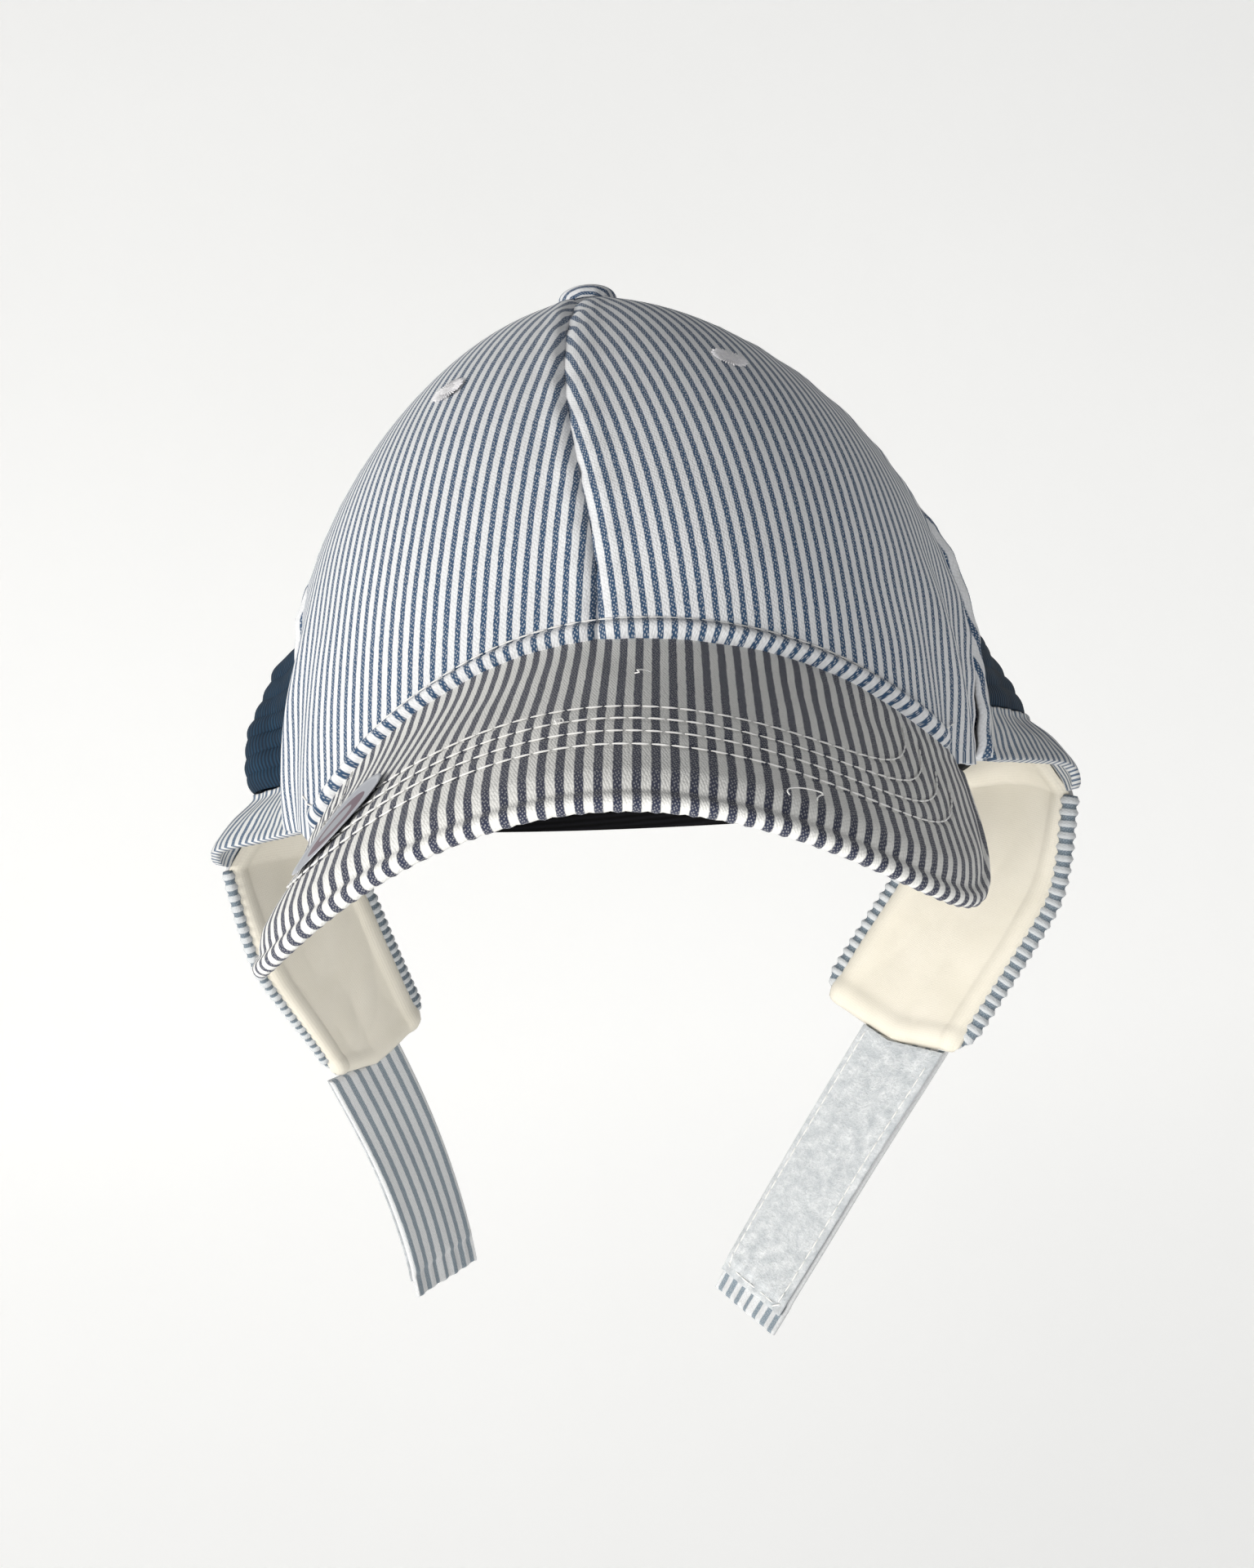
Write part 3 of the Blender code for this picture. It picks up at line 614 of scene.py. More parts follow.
# The peak
# Board between two layers of the same cloth, stripes running straight out from the seam and over the rim.
# Rows of white topstitching follow the front edge, and the rim ends below in an overcast seam.
PEAK_LINES = 240
PEAK_TOP_POINTS = 130
PEAK_NOSE_POINTS = 14
PEAK_UNDER_POINTS = 26
PEAK_PITCH_OF_STRIPES = 0.00298
ROW_INSETS = (0.0170, 0.0222, 0.0276, 0.0332)
ROW_GROOVE = 0.00032
ROW_GROOVE_WIDTH = 0.0007
ROW_HALF_TURN = 0.72
RIM_SCALLOP = 0.00038
RIM_DROOP = 0.0013
# The peak's navy is darker and more purple than the crown's. This is partly the board cloth's own tone and
# partly painted shade on its top, which faces up and away from the low light.
PEAK_CLOTH = striped_cotton(
    "hickory_stripe_cotton_on_board_with_painted_shade", PEAK_PITCH_OF_STRIPES, "#efeeea", "#262c44", 0.30, blue_share=0.49,
)


def peak_line(share):
    """Where one line of the peak starts at the seam and ends at the front edge: arc and reach of each."""
    turn = math.radians(90.0) * share * 0.995
    wide = abs(math.sin(turn) / PEAK_HALF_ARC) ** PEAK_OUTLINE_POWER
    long = abs(math.cos(turn) / (PEAK_LENGTH - CORNER_REACH)) ** PEAK_OUTLINE_POWER
    radius = (wide + long) ** (-1.0 / PEAK_OUTLINE_POWER)
    inner_arc = PEAK_SEAM_HALF_ARC * share
    outer_arc = radius * math.sin(turn)
    outer_reach = CORNER_REACH + radius * math.cos(turn)
    return inner_arc, outer_arc, outer_reach


CORNER_REACH = peak_seam_reach(PEAK_SEAM_HALF_ARC, 0.0, 0.0003)


def closed_piece(name, points, faces, marks, finish, sharp=180.0):
    """A closed mesh that faces outwards, with the place on the cloth of each corner of its faces."""
    mesh = bpy.data.meshes.new(name)
    mesh.from_pydata([tuple(p) for p in points], [], faces)
    if marks:
        flat = np.array(marks, dtype=np.float32).ravel()
        mesh.uv_layers.new(name="cloth").data.foreach_set("uv", flat)
    outward = bmesh.new()
    outward.from_mesh(mesh)
    bmesh.ops.recalc_face_normals(outward, faces=outward.faces)
    outward.to_mesh(mesh)
    outward.free()
    mesh.materials.append(finish)
    mesh.shade_smooth()
    if sharp < 180.0:
        mesh.set_sharp_from_angle(angle=math.radians(sharp))
    made = bpy.data.objects.new(name, mesh)
    bpy.context.scene.collection.objects.link(made)
    return made


def build_peak():
    sections, places = [], []
    half = PEAK_THICKNESS / 2.0
    for step in range(PEAK_LINES + 1):
        share = 2.0 * step / PEAK_LINES - 1.0
        inner_arc, outer_arc, outer_reach = peak_line(share)
        top_start = peak_seam_reach(inner_arc, 0.0, SEAM_CLEARANCE)
        under_start = peak_seam_reach(inner_arc, PEAK_THICKNESS, SEAM_CLEARANCE)
        full = math.hypot(outer_arc - inner_arc, outer_reach - top_start)
        flat_end = max(1.0 - half / full, 0.3)
        section, place = [], []
        rim_droop = RIM_DROOP * (1.0 - 0.75 * smooth_step((abs(share) - 0.55) / 0.3))

        def put(t, start, depth, u, v):
            arc = inner_arc + (outer_arc - inner_arc) * t
            section.append(peak_point(arc, start + (outer_reach - start) * t, depth))
            place.append((arc if u is None else u, v))

        for i in range(PEAK_TOP_POINTS):
            t = flat_end * i / (PEAK_TOP_POINTS - 1)
            inset = (1.0 - t) * full
            in_rows = 1.0 - smooth_step((abs(share) - ROW_HALF_TURN) / 0.03)
            groove = sum(ROW_GROOVE * hump(inset - row, ROW_GROOVE_WIDTH) for row in ROW_INSETS) * in_rows
            groove += 0.0003 * hump(inset - half * 1.6, 0.0009)
            puff = 0.00025 * noise.noise((share * 9.0, t * 6.0, 2.0))
            droop = rim_droop * (1.0 - smooth_step((inset - half) / 0.0065))
            put(t, top_start, groove + droop - puff * min(1.0, inset / 0.006), None, top_start + t * full)
        rim_arc = inner_arc + (outer_arc - inner_arc) * flat_end
        scallop = RIM_SCALLOP * math.cos(2.0 * math.pi * rim_arc / PEAK_PITCH_OF_STRIPES)
        for i in range(1, PEAK_NOSE_POINTS + 1):
            angle = math.pi * i / (PEAK_NOSE_POINTS + 1)
            t = flat_end + (1.0 - flat_end) * math.sin(angle) ** 0.72
            t += scallop / full * smooth_step(i / PEAK_NOSE_POINTS)
            depth = rim_droop + (half - rim_droop / 2.0) * (1.0 - math.cos(angle))
            put(t, top_start, depth, rim_arc, top_start + flat_end * full + half * angle)
        for i in reversed(range(PEAK_UNDER_POINTS)):
            t = flat_end * i / (PEAK_UNDER_POINTS - 1)
            pinch = 0.0005 * hump((1.0 - t) * full - half * 1.7, 0.0009)
            put(t, under_start, PEAK_THICKNESS - pinch, None, under_start + t * full)
        sections.append(section)
        places.append(place)
    count = len(sections[0])
    faces = []
    for i in range(PEAK_LINES):
        for j in range(count):
            k = (j + 1) % count
            faces.append((i * count + j, (i + 1) * count + j, (i + 1) * count + k, i * count + k))
    faces.append(tuple(range(count)))
    faces.append(tuple(reversed(range(PEAK_LINES * count, (PEAK_LINES + 1) * count))))
    points = [p for section in sections for p in section]
    flat = [spot for place in places for spot in place]
    marks = [flat[corner] for face in faces for corner in face]
    made = closed_piece("peak_cloth", points, faces, marks, PEAK_CLOTH)
    return keep(made, "striped_cotton", "peak")


build_peak()


def peak_row(inset, ends, depth=-0.00005):
    """A line on the peak's top that keeps one distance from its front edge."""
    line = []
    for step in range(161):
        share = ends[0] + (ends[1] - ends[0]) * step / 160
        inner_arc, outer_arc, outer_reach = peak_line(share)
        start = peak_seam_reach(inner_arc, 0.0, SEAM_CLEARANCE)
        t = 1.0 - inset / math.hypot(outer_arc - inner_arc, outer_reach - start)
        arc = inner_arc + (outer_arc - inner_arc) * t
        line.append(peak_point(arc, start + (outer_reach - start) * t, depth))
    return line


sew("peak_topstitch", [peak_row(inset, (-0.74, 0.70)) for inset in ROW_INSETS], "striped_cotton")


def loose_thread(arc, reach, size, seed):
    """A short curled end of thread that lies on the peak."""
    line = []
    for step in range(41):
        t = step / 40.0
        turn = 4.2 * t + seed
        across = size * (t - 0.5) + 0.25 * size * math.sin(turn * 1.7)
        along = 0.35 * size * math.sin(turn)
        line.append(peak_point(arc + across, reach + along, -0.0004 - 0.0006 * math.sin(math.pi * t)))
    return line


sew(
    "loose_thread_ends",
    [loose_thread(0.009, 0.020, 0.0022, 0.4), loose_thread(0.036, 0.060, 0.0060, 2.0),
     loose_thread(-0.004, 0.043, 0.0012, 1.0)],
    "striped_cotton", length=0.0007, pitch=0.0003, width=0.00026,
)


# The covered button
# A small metal dome wrapped in the same cloth and pressed over the point where the gores meet.
BUTTON_RADIUS = 0.0069
BUTTON_HEIGHT = 0.0046


def build_button():
    base = top_ring_height() + 0.0003
    middle = Vector((0.0, APEX_BACK * base / CROWN_HEIGHT, base))
    turns, steps = 48, 18
    points, places = [], []
    for i in range(steps + 1):
        t = i / steps
        swing = math.pi * 0.62 * t
        radius = BUTTON_RADIUS * math.sin(swing)
        if swing >= math.pi / 2.0:
            radius = BUTTON_RADIUS * (0.75 + 0.25 * math.sin(swing))
        height = BUTTON_HEIGHT * (0.30 + 0.70 * math.cos(swing))
        row, spots = [], []
        for j in range(turns + 1):
            turn = 2.0 * math.pi * j / turns
            gather = 1.0 + 0.02 * math.sin(turn * 14.0) * smooth_step((t - 0.55) / 0.3)
            spot = Vector((math.cos(turn), math.sin(turn), 0.0)) * radius * gather
            row.append(middle + spot + Vector((0.0, 0.0, height)))
            run = BUTTON_RADIUS * t * 1.35
            spots.append((math.sin(turn) * run, math.cos(turn) * run))
        points.append(row)
        places.append(spots)
    made = lay_cloth("covered_button", points, places, CROWN_CLOTH, 0.0006, turned=True)
    weld = made.modifiers.new("closed", "WELD")
    weld.merge_threshold = 0.00002
    made.modifiers.move(1, 0)
    keep(made, "striped_cotton", "top_button")


build_button()


# Sewn eyelets
# A ring of close buttonhole stitches in pale thread, one in each gore, worked over a small hole.
EYELET_RADIUS = 0.0022
EYELET_THREADS = 40
EYELET_HEIGHT_SHARE = 0.72
EYELET_ACROSS = {"front": 0.44, "side": 0.5, "back": 0.5}
EYELET_THREAD = thread_finish("rayon_eyelet_thread", "#c4c2cc")


def build_eyelet(place, side_name, first, last):
    angle = SIDES[side_name] * (first + (last - first) * EYELET_ACROSS[place])
    z = CROWN_HEIGHT * EYELET_HEIGHT_SHARE
    normal = crown_normal(angle, z)
    middle = crown_point(angle, z) + normal * 0.0005
    wide = normal.cross(Vector((0.0, 0.0, 1.0))).normalized()
    tall = wide.cross(normal)
    lines = []
    for i in range(EYELET_THREADS):
        turn = 2.0 * math.pi * i / EYELET_THREADS
        way = wide * math.cos(turn) + tall * math.sin(turn)
        uneven = 0.00022 * math.sin(i * 2.4)
        lines.append([middle + way * 0.0009, middle + way * (EYELET_RADIUS + 0.0006 + uneven)])
    made = sew(
        f"eyelet_stitches_{place}_{side_name}", lines, "eyelet_thread",
        length=0.0024, pitch=0.0100, width=0.00042, thread=EYELET_THREAD,
    )
    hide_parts(f"eyelet_{place}_{side_name}")
    return made


for side_name in SIDES:
    for place, first, last in zip(GORE_PLACES, SEAM_ANGLES, SEAM_ANGLES[1:]):
        build_eyelet(place, side_name, first, last)


# The stretch band and the rear hem
# Behind the ears the crown ends in a ribbed elastic band, gathered in flat ridges, and under it the striped
# hem flares out over the ears, its stripes fanning as the cloth is drawn in to the band.
BAND_BOTTOM = 0.013
BAND_LEAD = 0.5
BAND_THICKNESS = 0.0024
HEM_THICKNESS = 0.0022
HEM_GAP = 0.0008
GAP = 0.0003
FLARE_RIGHT = 0.0292
FLARE_LEFT = 0.0280
TIP_CURL_RIGHT = 0.0030
TIP_CURL_LEFT = 0.0055
BACK_TILT = 0.055
RIDGES = 8
RIDGE_DEPTH = 0.0006
FLARE_ROUND = (
    (80.0, 0.0),
    (85.0, 0.20),
    (91.0, 0.52),
    (98.0, 0.88),
    (105.0, 1.0),
    (111.0, 0.84),
    (119.0, 0.54),
    (133.0, 0.27),
    (155.0, 0.10),
    (180.0, 0.05),
)
FLARE_DOWN_BAND = (
    (0.0, 0.0, 0.0),
    (0.12, 0.46, 0.10),
    (0.3, 0.57, 0.17),
    (0.6, 0.70, 0.34),
    (0.88, 0.69, 0.52),
    (1.0, 0.62, 0.58),
)
FLARE_DOWN_HEM = ((0.0, 0.60), (0.15, 0.62), (0.5, 0.84), (0.8, 0.97), (1.0, 1.0))


def table_value(rows, place, column=1):
    """Smooth value of one column of a table at a place along its first column."""
    if place <= rows[0][0]:
        return rows[0][column]
    if place >= rows[-1][0]:
        return rows[-1][column]
    index = max(i for i in range(len(rows) - 1) if rows[i][0] <= place)
    slopes = []
    for i in (index, index + 1):
        low, high = rows[max(i - 1, 0)], rows[min(i + 1, len(rows) - 1)]
        slopes.append((high[column] - low[column]) / (high[0] - low[0]))
    start, end = rows[index], rows[index + 1]
    span = end[0] - start[0]
    t = (place - start[0]) / span
    rise = t * t * (3.0 - 2.0 * t)
    return (
        start[column] * (1.0 - rise)
        + end[column] * rise
        + span * slopes[0] * t * (1.0 - t) ** 2
        - span * slopes[1] * t * t * (1.0 - t)
    )


def left_share(angle):
    return smooth_step(0.5 + 0.5 * math.sin(math.radians(angle)))


def flared_point(angle, z, share):
    flare = FLARE_RIGHT + (FLARE_LEFT - FLARE_RIGHT) * left_share(angle)
    outward = flare * table_value(FLARE_ROUND, abs(angle)) * share - tuck(angle, z)
    return crown_point(angle, z) + plan_normal(angle) * outward


def back_tilt(angle, x):
    """The rim sits a little lower at the back on the wearer's left than on the right."""
    return BACK_TILT * x * smooth_step((abs(angle) - 120.0) / 22.0)


def hem_point(angle, down):
    """The hem's edge curls down where the flap's outer corner pulls on it."""
    top = BAND_BOTTOM - HEM_GAP
    curl = TIP_CURL_RIGHT + (TIP_CURL_LEFT - TIP_CURL_RIGHT) * left_share(angle)
    curl *= hump(abs(angle) - 104.0, 5.5)
    place = flared_point(angle, top * (1.0 - down), table_value(FLARE_DOWN_HEM, down))
    return place - Vector((0.0, 0.0, (curl + back_tilt(angle, place.x)) * down**1.6))


def band_point(angle, down):
    top = BAND_TOP - GAP
    z = top + (BAND_BOTTOM - top) * down
    right, left = table_value(FLARE_DOWN_BAND, down, 1), table_value(FLARE_DOWN_BAND, down, 2)
    return flared_point(angle, z, right + (left - right) * left_share(angle))


def knitted_elastic(name):
    """Ribbed knit elastic: navy with fine wales, painted shade darkening the grooves between them and a
    painted highlight on their tops, mixed with random tone.
    """
    made, tree, shader = new_finish(name, 0.8)
    shader.inputs["Specular IOR Level"].default_value = 0.25
    place = add(tree, "ShaderNodeUVMap", uv_map="cloth").outputs["UV"]
    wales = add(
        tree, "ShaderNodeTexWave", {"Vector": place, "Scale": 190.0, "Distortion": 1.2, "Detail": 1.0},
        wave_type="BANDS", bands_direction="X",
    )
    tone = add(tree, "ShaderNodeTexNoise", {"Vector": place, "Scale": 120.0, "Detail": 4.0})
    mixed = add(
        tree, "ShaderNodeMath", {0: wales.outputs["Fac"], 1: tone.outputs["Fac"]}, operation="MULTIPLY",
    )
    # The navy tint follows the wales: painted shade in their grooves and a painted highlight on their tops,
    # varied by random tone.
    tint = add(
        tree, "ShaderNodeMix", {0: mixed.outputs[0], 6: linear("#021526"), 7: linear("#1c4560")},
        data_type="RGBA",
    )
    tree.links.new(tint.outputs[2], shader.inputs["Base Color"])
    bump = add(tree, "ShaderNodeBump", {"Height": wales.outputs["Fac"], "Strength": 0.5, "Distance": 0.0003})
    tree.links.new(bump.outputs[0], shader.inputs["Normal"])
    return made


def around_back(u):
    start = BAND_START + BAND_LEAD
    angle = start + (360.0 - 2.0 * start) * u
    return angle if angle <= 180.0 else angle - 360.0


def outward_of(surface, u, v, step=0.002):
    """Outward direction of a surface that runs round the back from the left to the right."""
    along = surface(min(u + step, 1.0), v) - surface(max(u - step, 0.0), v)
    down = surface(u, min(v + step, 1.0)) - surface(u, max(v - step, 0.0))
    return down.cross(along).normalized()


def build_back_sheet(name, point, columns, rows, relief, finish, thickness, slot_name, node, lift):
    def surface(u, v):
        return point(around_back(u), v)

    hem_lengths = [0.0]
    for j in range(1, columns + 1):
        step = surface(j / columns, 1.0) - surface((j - 1) / columns, 1.0)
        hem_lengths.append(hem_lengths[-1] + step.length)
    points, places = [], []
    for i in range(rows + 1):
        v = i / rows
        row, spots = [], []
        for j in range(columns + 1):
            u = j / columns
            normal = outward_of(surface, u, v)
            row.append(surface(u, v) + normal * (lift + relief(u, v)))
            spots.append((hem_lengths[j], v * (BAND_TOP - BAND_BOTTOM)))
        points.append(row)
        places.append(spots)
    made = lay_cloth(name, points, places, finish, thickness, turned=True, offset=0.0)
    keep(made, slot_name, node)
    return made


def band_relief(u, v):
    ridge = abs(math.sin(math.pi * RIDGES * v + 0.5 * noise.noise((u * 26.0, v * 3.0, 7.0))))
    wave = noise.noise((u * 40.0, v * 9.0, 1.0))
    return RIDGE_DEPTH * (ridge - 0.6) * smooth_step(v / 0.06) + 0.0004 * wave


def hem_relief(u, v):
    gathers = noise.noise((u * 95.0, v * 2.0, 3.0))
    roll = 0.0006 * hump((1.0 - v) * 0.013, 0.0020)
    return 0.0008 * gathers * (1.0 - 0.6 * v) + roll


band_finish = knitted_elastic("ribbed_knit_elastic")
build_back_sheet(
    "stretch_band", band_point, 300, 90, band_relief, band_finish, BAND_THICKNESS * 0.75, "ribbed_band",
    "back_band", BAND_THICKNESS / 2.0 - CLOTH,
)
HEM_CLOTH = striped_cotton("hickory_stripe_cotton_gathered", 0.0029, "#dcdcdb", "#31506e", 0.45)
build_back_sheet(
    "flared_hem", hem_point, 360, 30, hem_relief, HEM_CLOTH, HEM_THICKNESS, "striped_cotton", "rear_hem",
    HEM_THICKNESS / 2.0 - CLOTH,
)


# The sweatband
# A ring of plain woven tape sewn inside the rim, which lies flat against the gores and the hem. Its
# near-black tint is partly the tape's own dark colour and partly painted shade of the cap's inside.
SWEATBAND_HEIGHT = 0.026
SWEATBAND_THICKNESS = 0.0012
SWEATBAND_DROP = 0.0012
SWEATBAND_TURNS = 360
SWEATBAND_RISES = 12


def woven_tape(name, dark, pale, rib):
    """Plain woven tape: fine even ribs across, matt."""
    made, tree, shader = new_finish(name, 0.9)
    shader.inputs["Specular IOR Level"].default_value = 0.15
    place = add(tree, "ShaderNodeTexCoord").outputs["Object"]
    ribs = add(
        tree, "ShaderNodeTexWave", {"Vector": place, "Scale": 1.0 / rib / 6.0, "Distortion": 0.6},
        wave_type="BANDS", bands_direction="Z",
    )
    tint = add(
        tree, "ShaderNodeMix", {0: ribs.outputs["Fac"], 6: linear(dark), 7: linear(pale)}, data_type="RGBA",
    )
    tree.links.new(tint.outputs[2], shader.inputs["Base Color"])
    bump = add(tree, "ShaderNodeBump", {"Height": ribs.outputs["Fac"], "Strength": 0.4, "Distance": 0.0002})
    tree.links.new(bump.outputs[0], shader.inputs["Normal"])
    return made


def build_sweatband():
    outer_inset = CLOTH + 2.0 * GAP
    shares = [i / SWEATBAND_RISES for i in range(SWEATBAND_RISES + 1)]
    outline = [(outer_inset, share) for share in shares]
    outline += [(outer_inset + SWEATBAND_THICKNESS, 1.0 - share) for share in shares]
    points = []
    for step in range(SWEATBAND_TURNS):
        angle = 360.0 * step / SWEATBAND_TURNS - 180.0
        low = rim_height(angle) + 0.0003 - SWEATBAND_DROP * smooth_step((abs(angle) - 118.0) / 20.0)
        low -= back_tilt(angle, plan_point(angle)[0])
        normal = plan_normal(angle)
        for inset, share in outline:
            z = low + SWEATBAND_HEIGHT * share
            points.append(crown_point(angle, z) - normal * (inset + tuck(angle, z)))
    count = len(outline)
    faces = []
    for i in range(SWEATBAND_TURNS):
        for j in range(count):
            after, beside = (i + 1) % SWEATBAND_TURNS, (j + 1) % count
            faces.append((i * count + j, after * count + j, after * count + beside, i * count + beside))
    # Near-black tints, set as dark as the deep shade inside the rim: painted shade laid over the tape's own
    # dark colour.
    finish = woven_tape("near_black_tape_with_painted_shade", "#070708", "#121215", 0.0008)
    made = closed_piece("sweatband_tape", points, faces, None, finish, sharp=50.0)
    keep(made, "sweatband_tape", "sweatband")


build_sweatband()


# The ear flaps
# Each flap is two layers, striped outside and cream cotton inside, bound round three edges with a rolled
# strip whose stripes run across it and puff between the stitches. It hangs and turns a little from the hem.
FLAP_WIDTH = 0.043
FLAP_LENGTH = 0.069
FLAP_SHELL = 0.0014
FLAP_LINING = 0.0016
BINDING_RADIUS = 0.0020
BINDING_GAP = 0.0008
FLAP_GAP = 0.0013
STRAP_WIDTH = 0.0230
STRAP_OFFSET = 0.003
STRAP_LENGTH = 0.077
STRAP_THICKNESS = 0.0018
HANG = {
    "right": (
        (0.0, 8.0, 14.0, 0.0),
        (0.15, 10.0, 38.0, 0.0),
        (0.47, 13.0, 42.0, 0.0),
        (0.75, 9.0, 30.0, 0.0),
        (1.0, 2.0, 22.0, 0.0),
    ),
    "left": (
        (0.0, 16.0, 2.0, -16.0),
        (0.15, 32.0, 5.0, -20.0),
        (0.47, 37.0, 6.0, -20.0),
        (0.75, 36.0, 4.0, -14.0),
        (1.0, 36.0, 2.0, -9.0),
    ),
}
FLAP_CUT = {"right": (0.36, 0.0085, -0.08), "left": (0.13, 0.0075, 0.16)}
FLAP_MIDDLE_ANGLE = 113.0
FLAP_HALF_ANGLE = 9.0
FLAP_SETTLE_SHARE = 0.35
FLAP_STRIPE_PITCH = 0.0028


def hang_frames(side_name):
    """Points, width directions and faces down the middle of one flap and its strap."""
    side = SIDES[side_name]
    rows = HANG[side_name]
    whole = FLAP_LENGTH + STRAP_LENGTH
    steps = 60
    outer = hem_point(side * (FLAP_MIDDLE_ANGLE - FLAP_HALF_ANGLE), 1.0)
    inner = hem_point(side * (FLAP_MIDDLE_ANGLE + FLAP_HALF_ANGLE), 1.0)
    across = (inner - outer).normalized()
    place = (outer + inner) / 2.0 - Vector((0.0, 0.0, FLAP_GAP))
    frames = []
    for step in range(steps + 1):
        share = step / steps
        inward = math.radians(table_value(rows, share, 1))
        backward = math.radians(table_value(rows, share, 2))
        turn = math.radians(table_value(rows, share, 3)) * side
        down = Vector((-side * math.tan(inward), math.tan(backward), -1.0)).normalized()
        wide = (across - down * across.dot(down)).normalized()
        face = down.cross(wide).normalized()
        wide = (wide * math.cos(turn) + face * math.sin(turn)).normalized()
        face = down.cross(wide).normalized() * side
        frames.append((share * whole, place.copy(), wide, face))
        place = place + down * (whole / steps)
    return frames


def frame_at(frames, length):
    step = frames[1][0] - frames[0][0]
    index = min(max(int(length / step), 0), len(frames) - 2)
    t = (length - frames[index][0]) / step
    low, high = frames[index], frames[index + 1]
    return tuple(low[i].lerp(high[i], t) for i in (1, 2, 3))


def cut_place(side_name, across, length):
    """The flap's cut: its outer edge tapers in and is shorter, and its inner edge may widen a little."""
    taper, shorter, wider = FLAP_CUT[side_name]
    down = smooth_step(length / FLAP_LENGTH) if length > 0.0 else 0.0
    outer = max(-across, 0.0)
    return across + (taper * outer + wider * max(across, 0.0)) * down, length - shorter * outer * down


def flap_point(side_name, frames, across, length):
    """Point of a flap's middle surface: across runs from -1 at the outer edge to 1 at the inner edge."""
    reach_across, reach_down = cut_place(side_name, across, length)
    middle, wide, _ = frame_at(frames, reach_down)
    hanging = middle + wide * (reach_across * FLAP_WIDTH / 2.0)
    angle = SIDES[side_name] * (FLAP_MIDDLE_ANGLE + across * FLAP_HALF_ANGLE)
    sewn = hem_point(angle, 1.0) + (hanging - (frames[0][1] + frames[0][2] * (across * FLAP_WIDTH / 2.0)))
    sewn = sewn - Vector((0.0, 0.0, FLAP_GAP))
    settle = smooth_step(length / (FLAP_LENGTH * FLAP_SETTLE_SHARE))
    return sewn.lerp(hanging, settle)


def lined_point(side_name, frames, across, length):
    """The lining also goes a little way up inside the hem, over the flap's width."""
    if length >= 0.0:
        return flap_point(side_name, frames, across, length)
    angle = SIDES[side_name] * (FLAP_MIDDLE_ANGLE + across * FLAP_HALF_ANGLE)
    rise = smooth_step(-length / 0.0030)
    place = hem_point(angle, 1.0 + length / (BAND_BOTTOM - HEM_GAP))
    return place - plan_normal(angle) * (0.0021 * rise) - Vector((0.0, 0.0, FLAP_GAP * (1.0 - rise)))


def lining_cotton(name):
    """Plain cream cotton calico: a fine even weave, a few darker slubs, and soft stains of age."""
    made, tree, shader = new_finish(name, 0.88, sheen=0.15)
    place = add(tree, "ShaderNodeUVMap", uv_map="cloth").outputs["UV"]
    weave = add(
        tree, "ShaderNodeTexVoronoi", {"Vector": place, "Scale": 2400.0, "Randomness": 0.25},
        voronoi_dimensions="2D",
    )
    tone = add(tree, "ShaderNodeTexNoise", {"Vector": place, "Scale": 60.0, "Detail": 3.0})
    tint = add(
        tree, "ShaderNodeMix", {0: tone.outputs["Fac"], 6: linear("#dcd5c3"), 7: linear("#ece6d9")},
        data_type="RGBA",
    )
    grain = add(
        tree, "ShaderNodeMapRange",
        {
            "Value": weave.outputs["Distance"], "From Min": 0.2, "From Max": 0.7,
            "To Min": 1.0, "To Max": 0.93,
        },
    )
    shaded = add(
        tree, "ShaderNodeVectorMath", {0: tint.outputs[2], "Scale": grain.outputs[0]}, operation="SCALE",
    )
    tree.links.new(shaded.outputs[0], shader.inputs["Base Color"])
    bump = add(
        tree, "ShaderNodeBump",
        {"Height": weave.outputs["Distance"], "Strength": 0.25, "Distance": 0.0002}, invert=True,
    )
    tree.links.new(bump.outputs[0], shader.inputs["Normal"])
    return made


FLAP_CLOTH = striped_cotton("hickory_stripe_cotton_flap", FLAP_STRIPE_PITCH, "#dcdcdc", "#3a5874", 0.45)
BINDING_CLOTH = striped_cotton(
    "hickory_stripe_cotton_binding", FLAP_STRIPE_PITCH, "#cccfd1", "#64727d", 0.3,
)
LINING_CLOTH = lining_cotton("cream_cotton_lining")


def flap_layer(name, side_name, frames, across_edge, lengths, lift, finish, thickness, offset, relief):
    side = SIDES[side_name]
    columns, rows = 60, 96
    points, places = [], []
    for i in range(rows + 1):
        length = lengths[0] + (lengths[1] - lengths[0]) * i / rows
        row, spots = [], []
        for j in range(columns + 1):
            across = (2.0 * j / columns - 1.0) * across_edge
            _, _, face = frame_at(frames, max(length, 0.0))
            out = lift + relief(across, length)
            row.append(lined_point(side_name, frames, across, length) + face * out)
            spots.append((across * FLAP_WIDTH / 2.0, length))
        points.append(row)
        places.append(spots)
    return lay_cloth(name, points, places, finish, thickness, turned=side > 0.0, offset=offset)


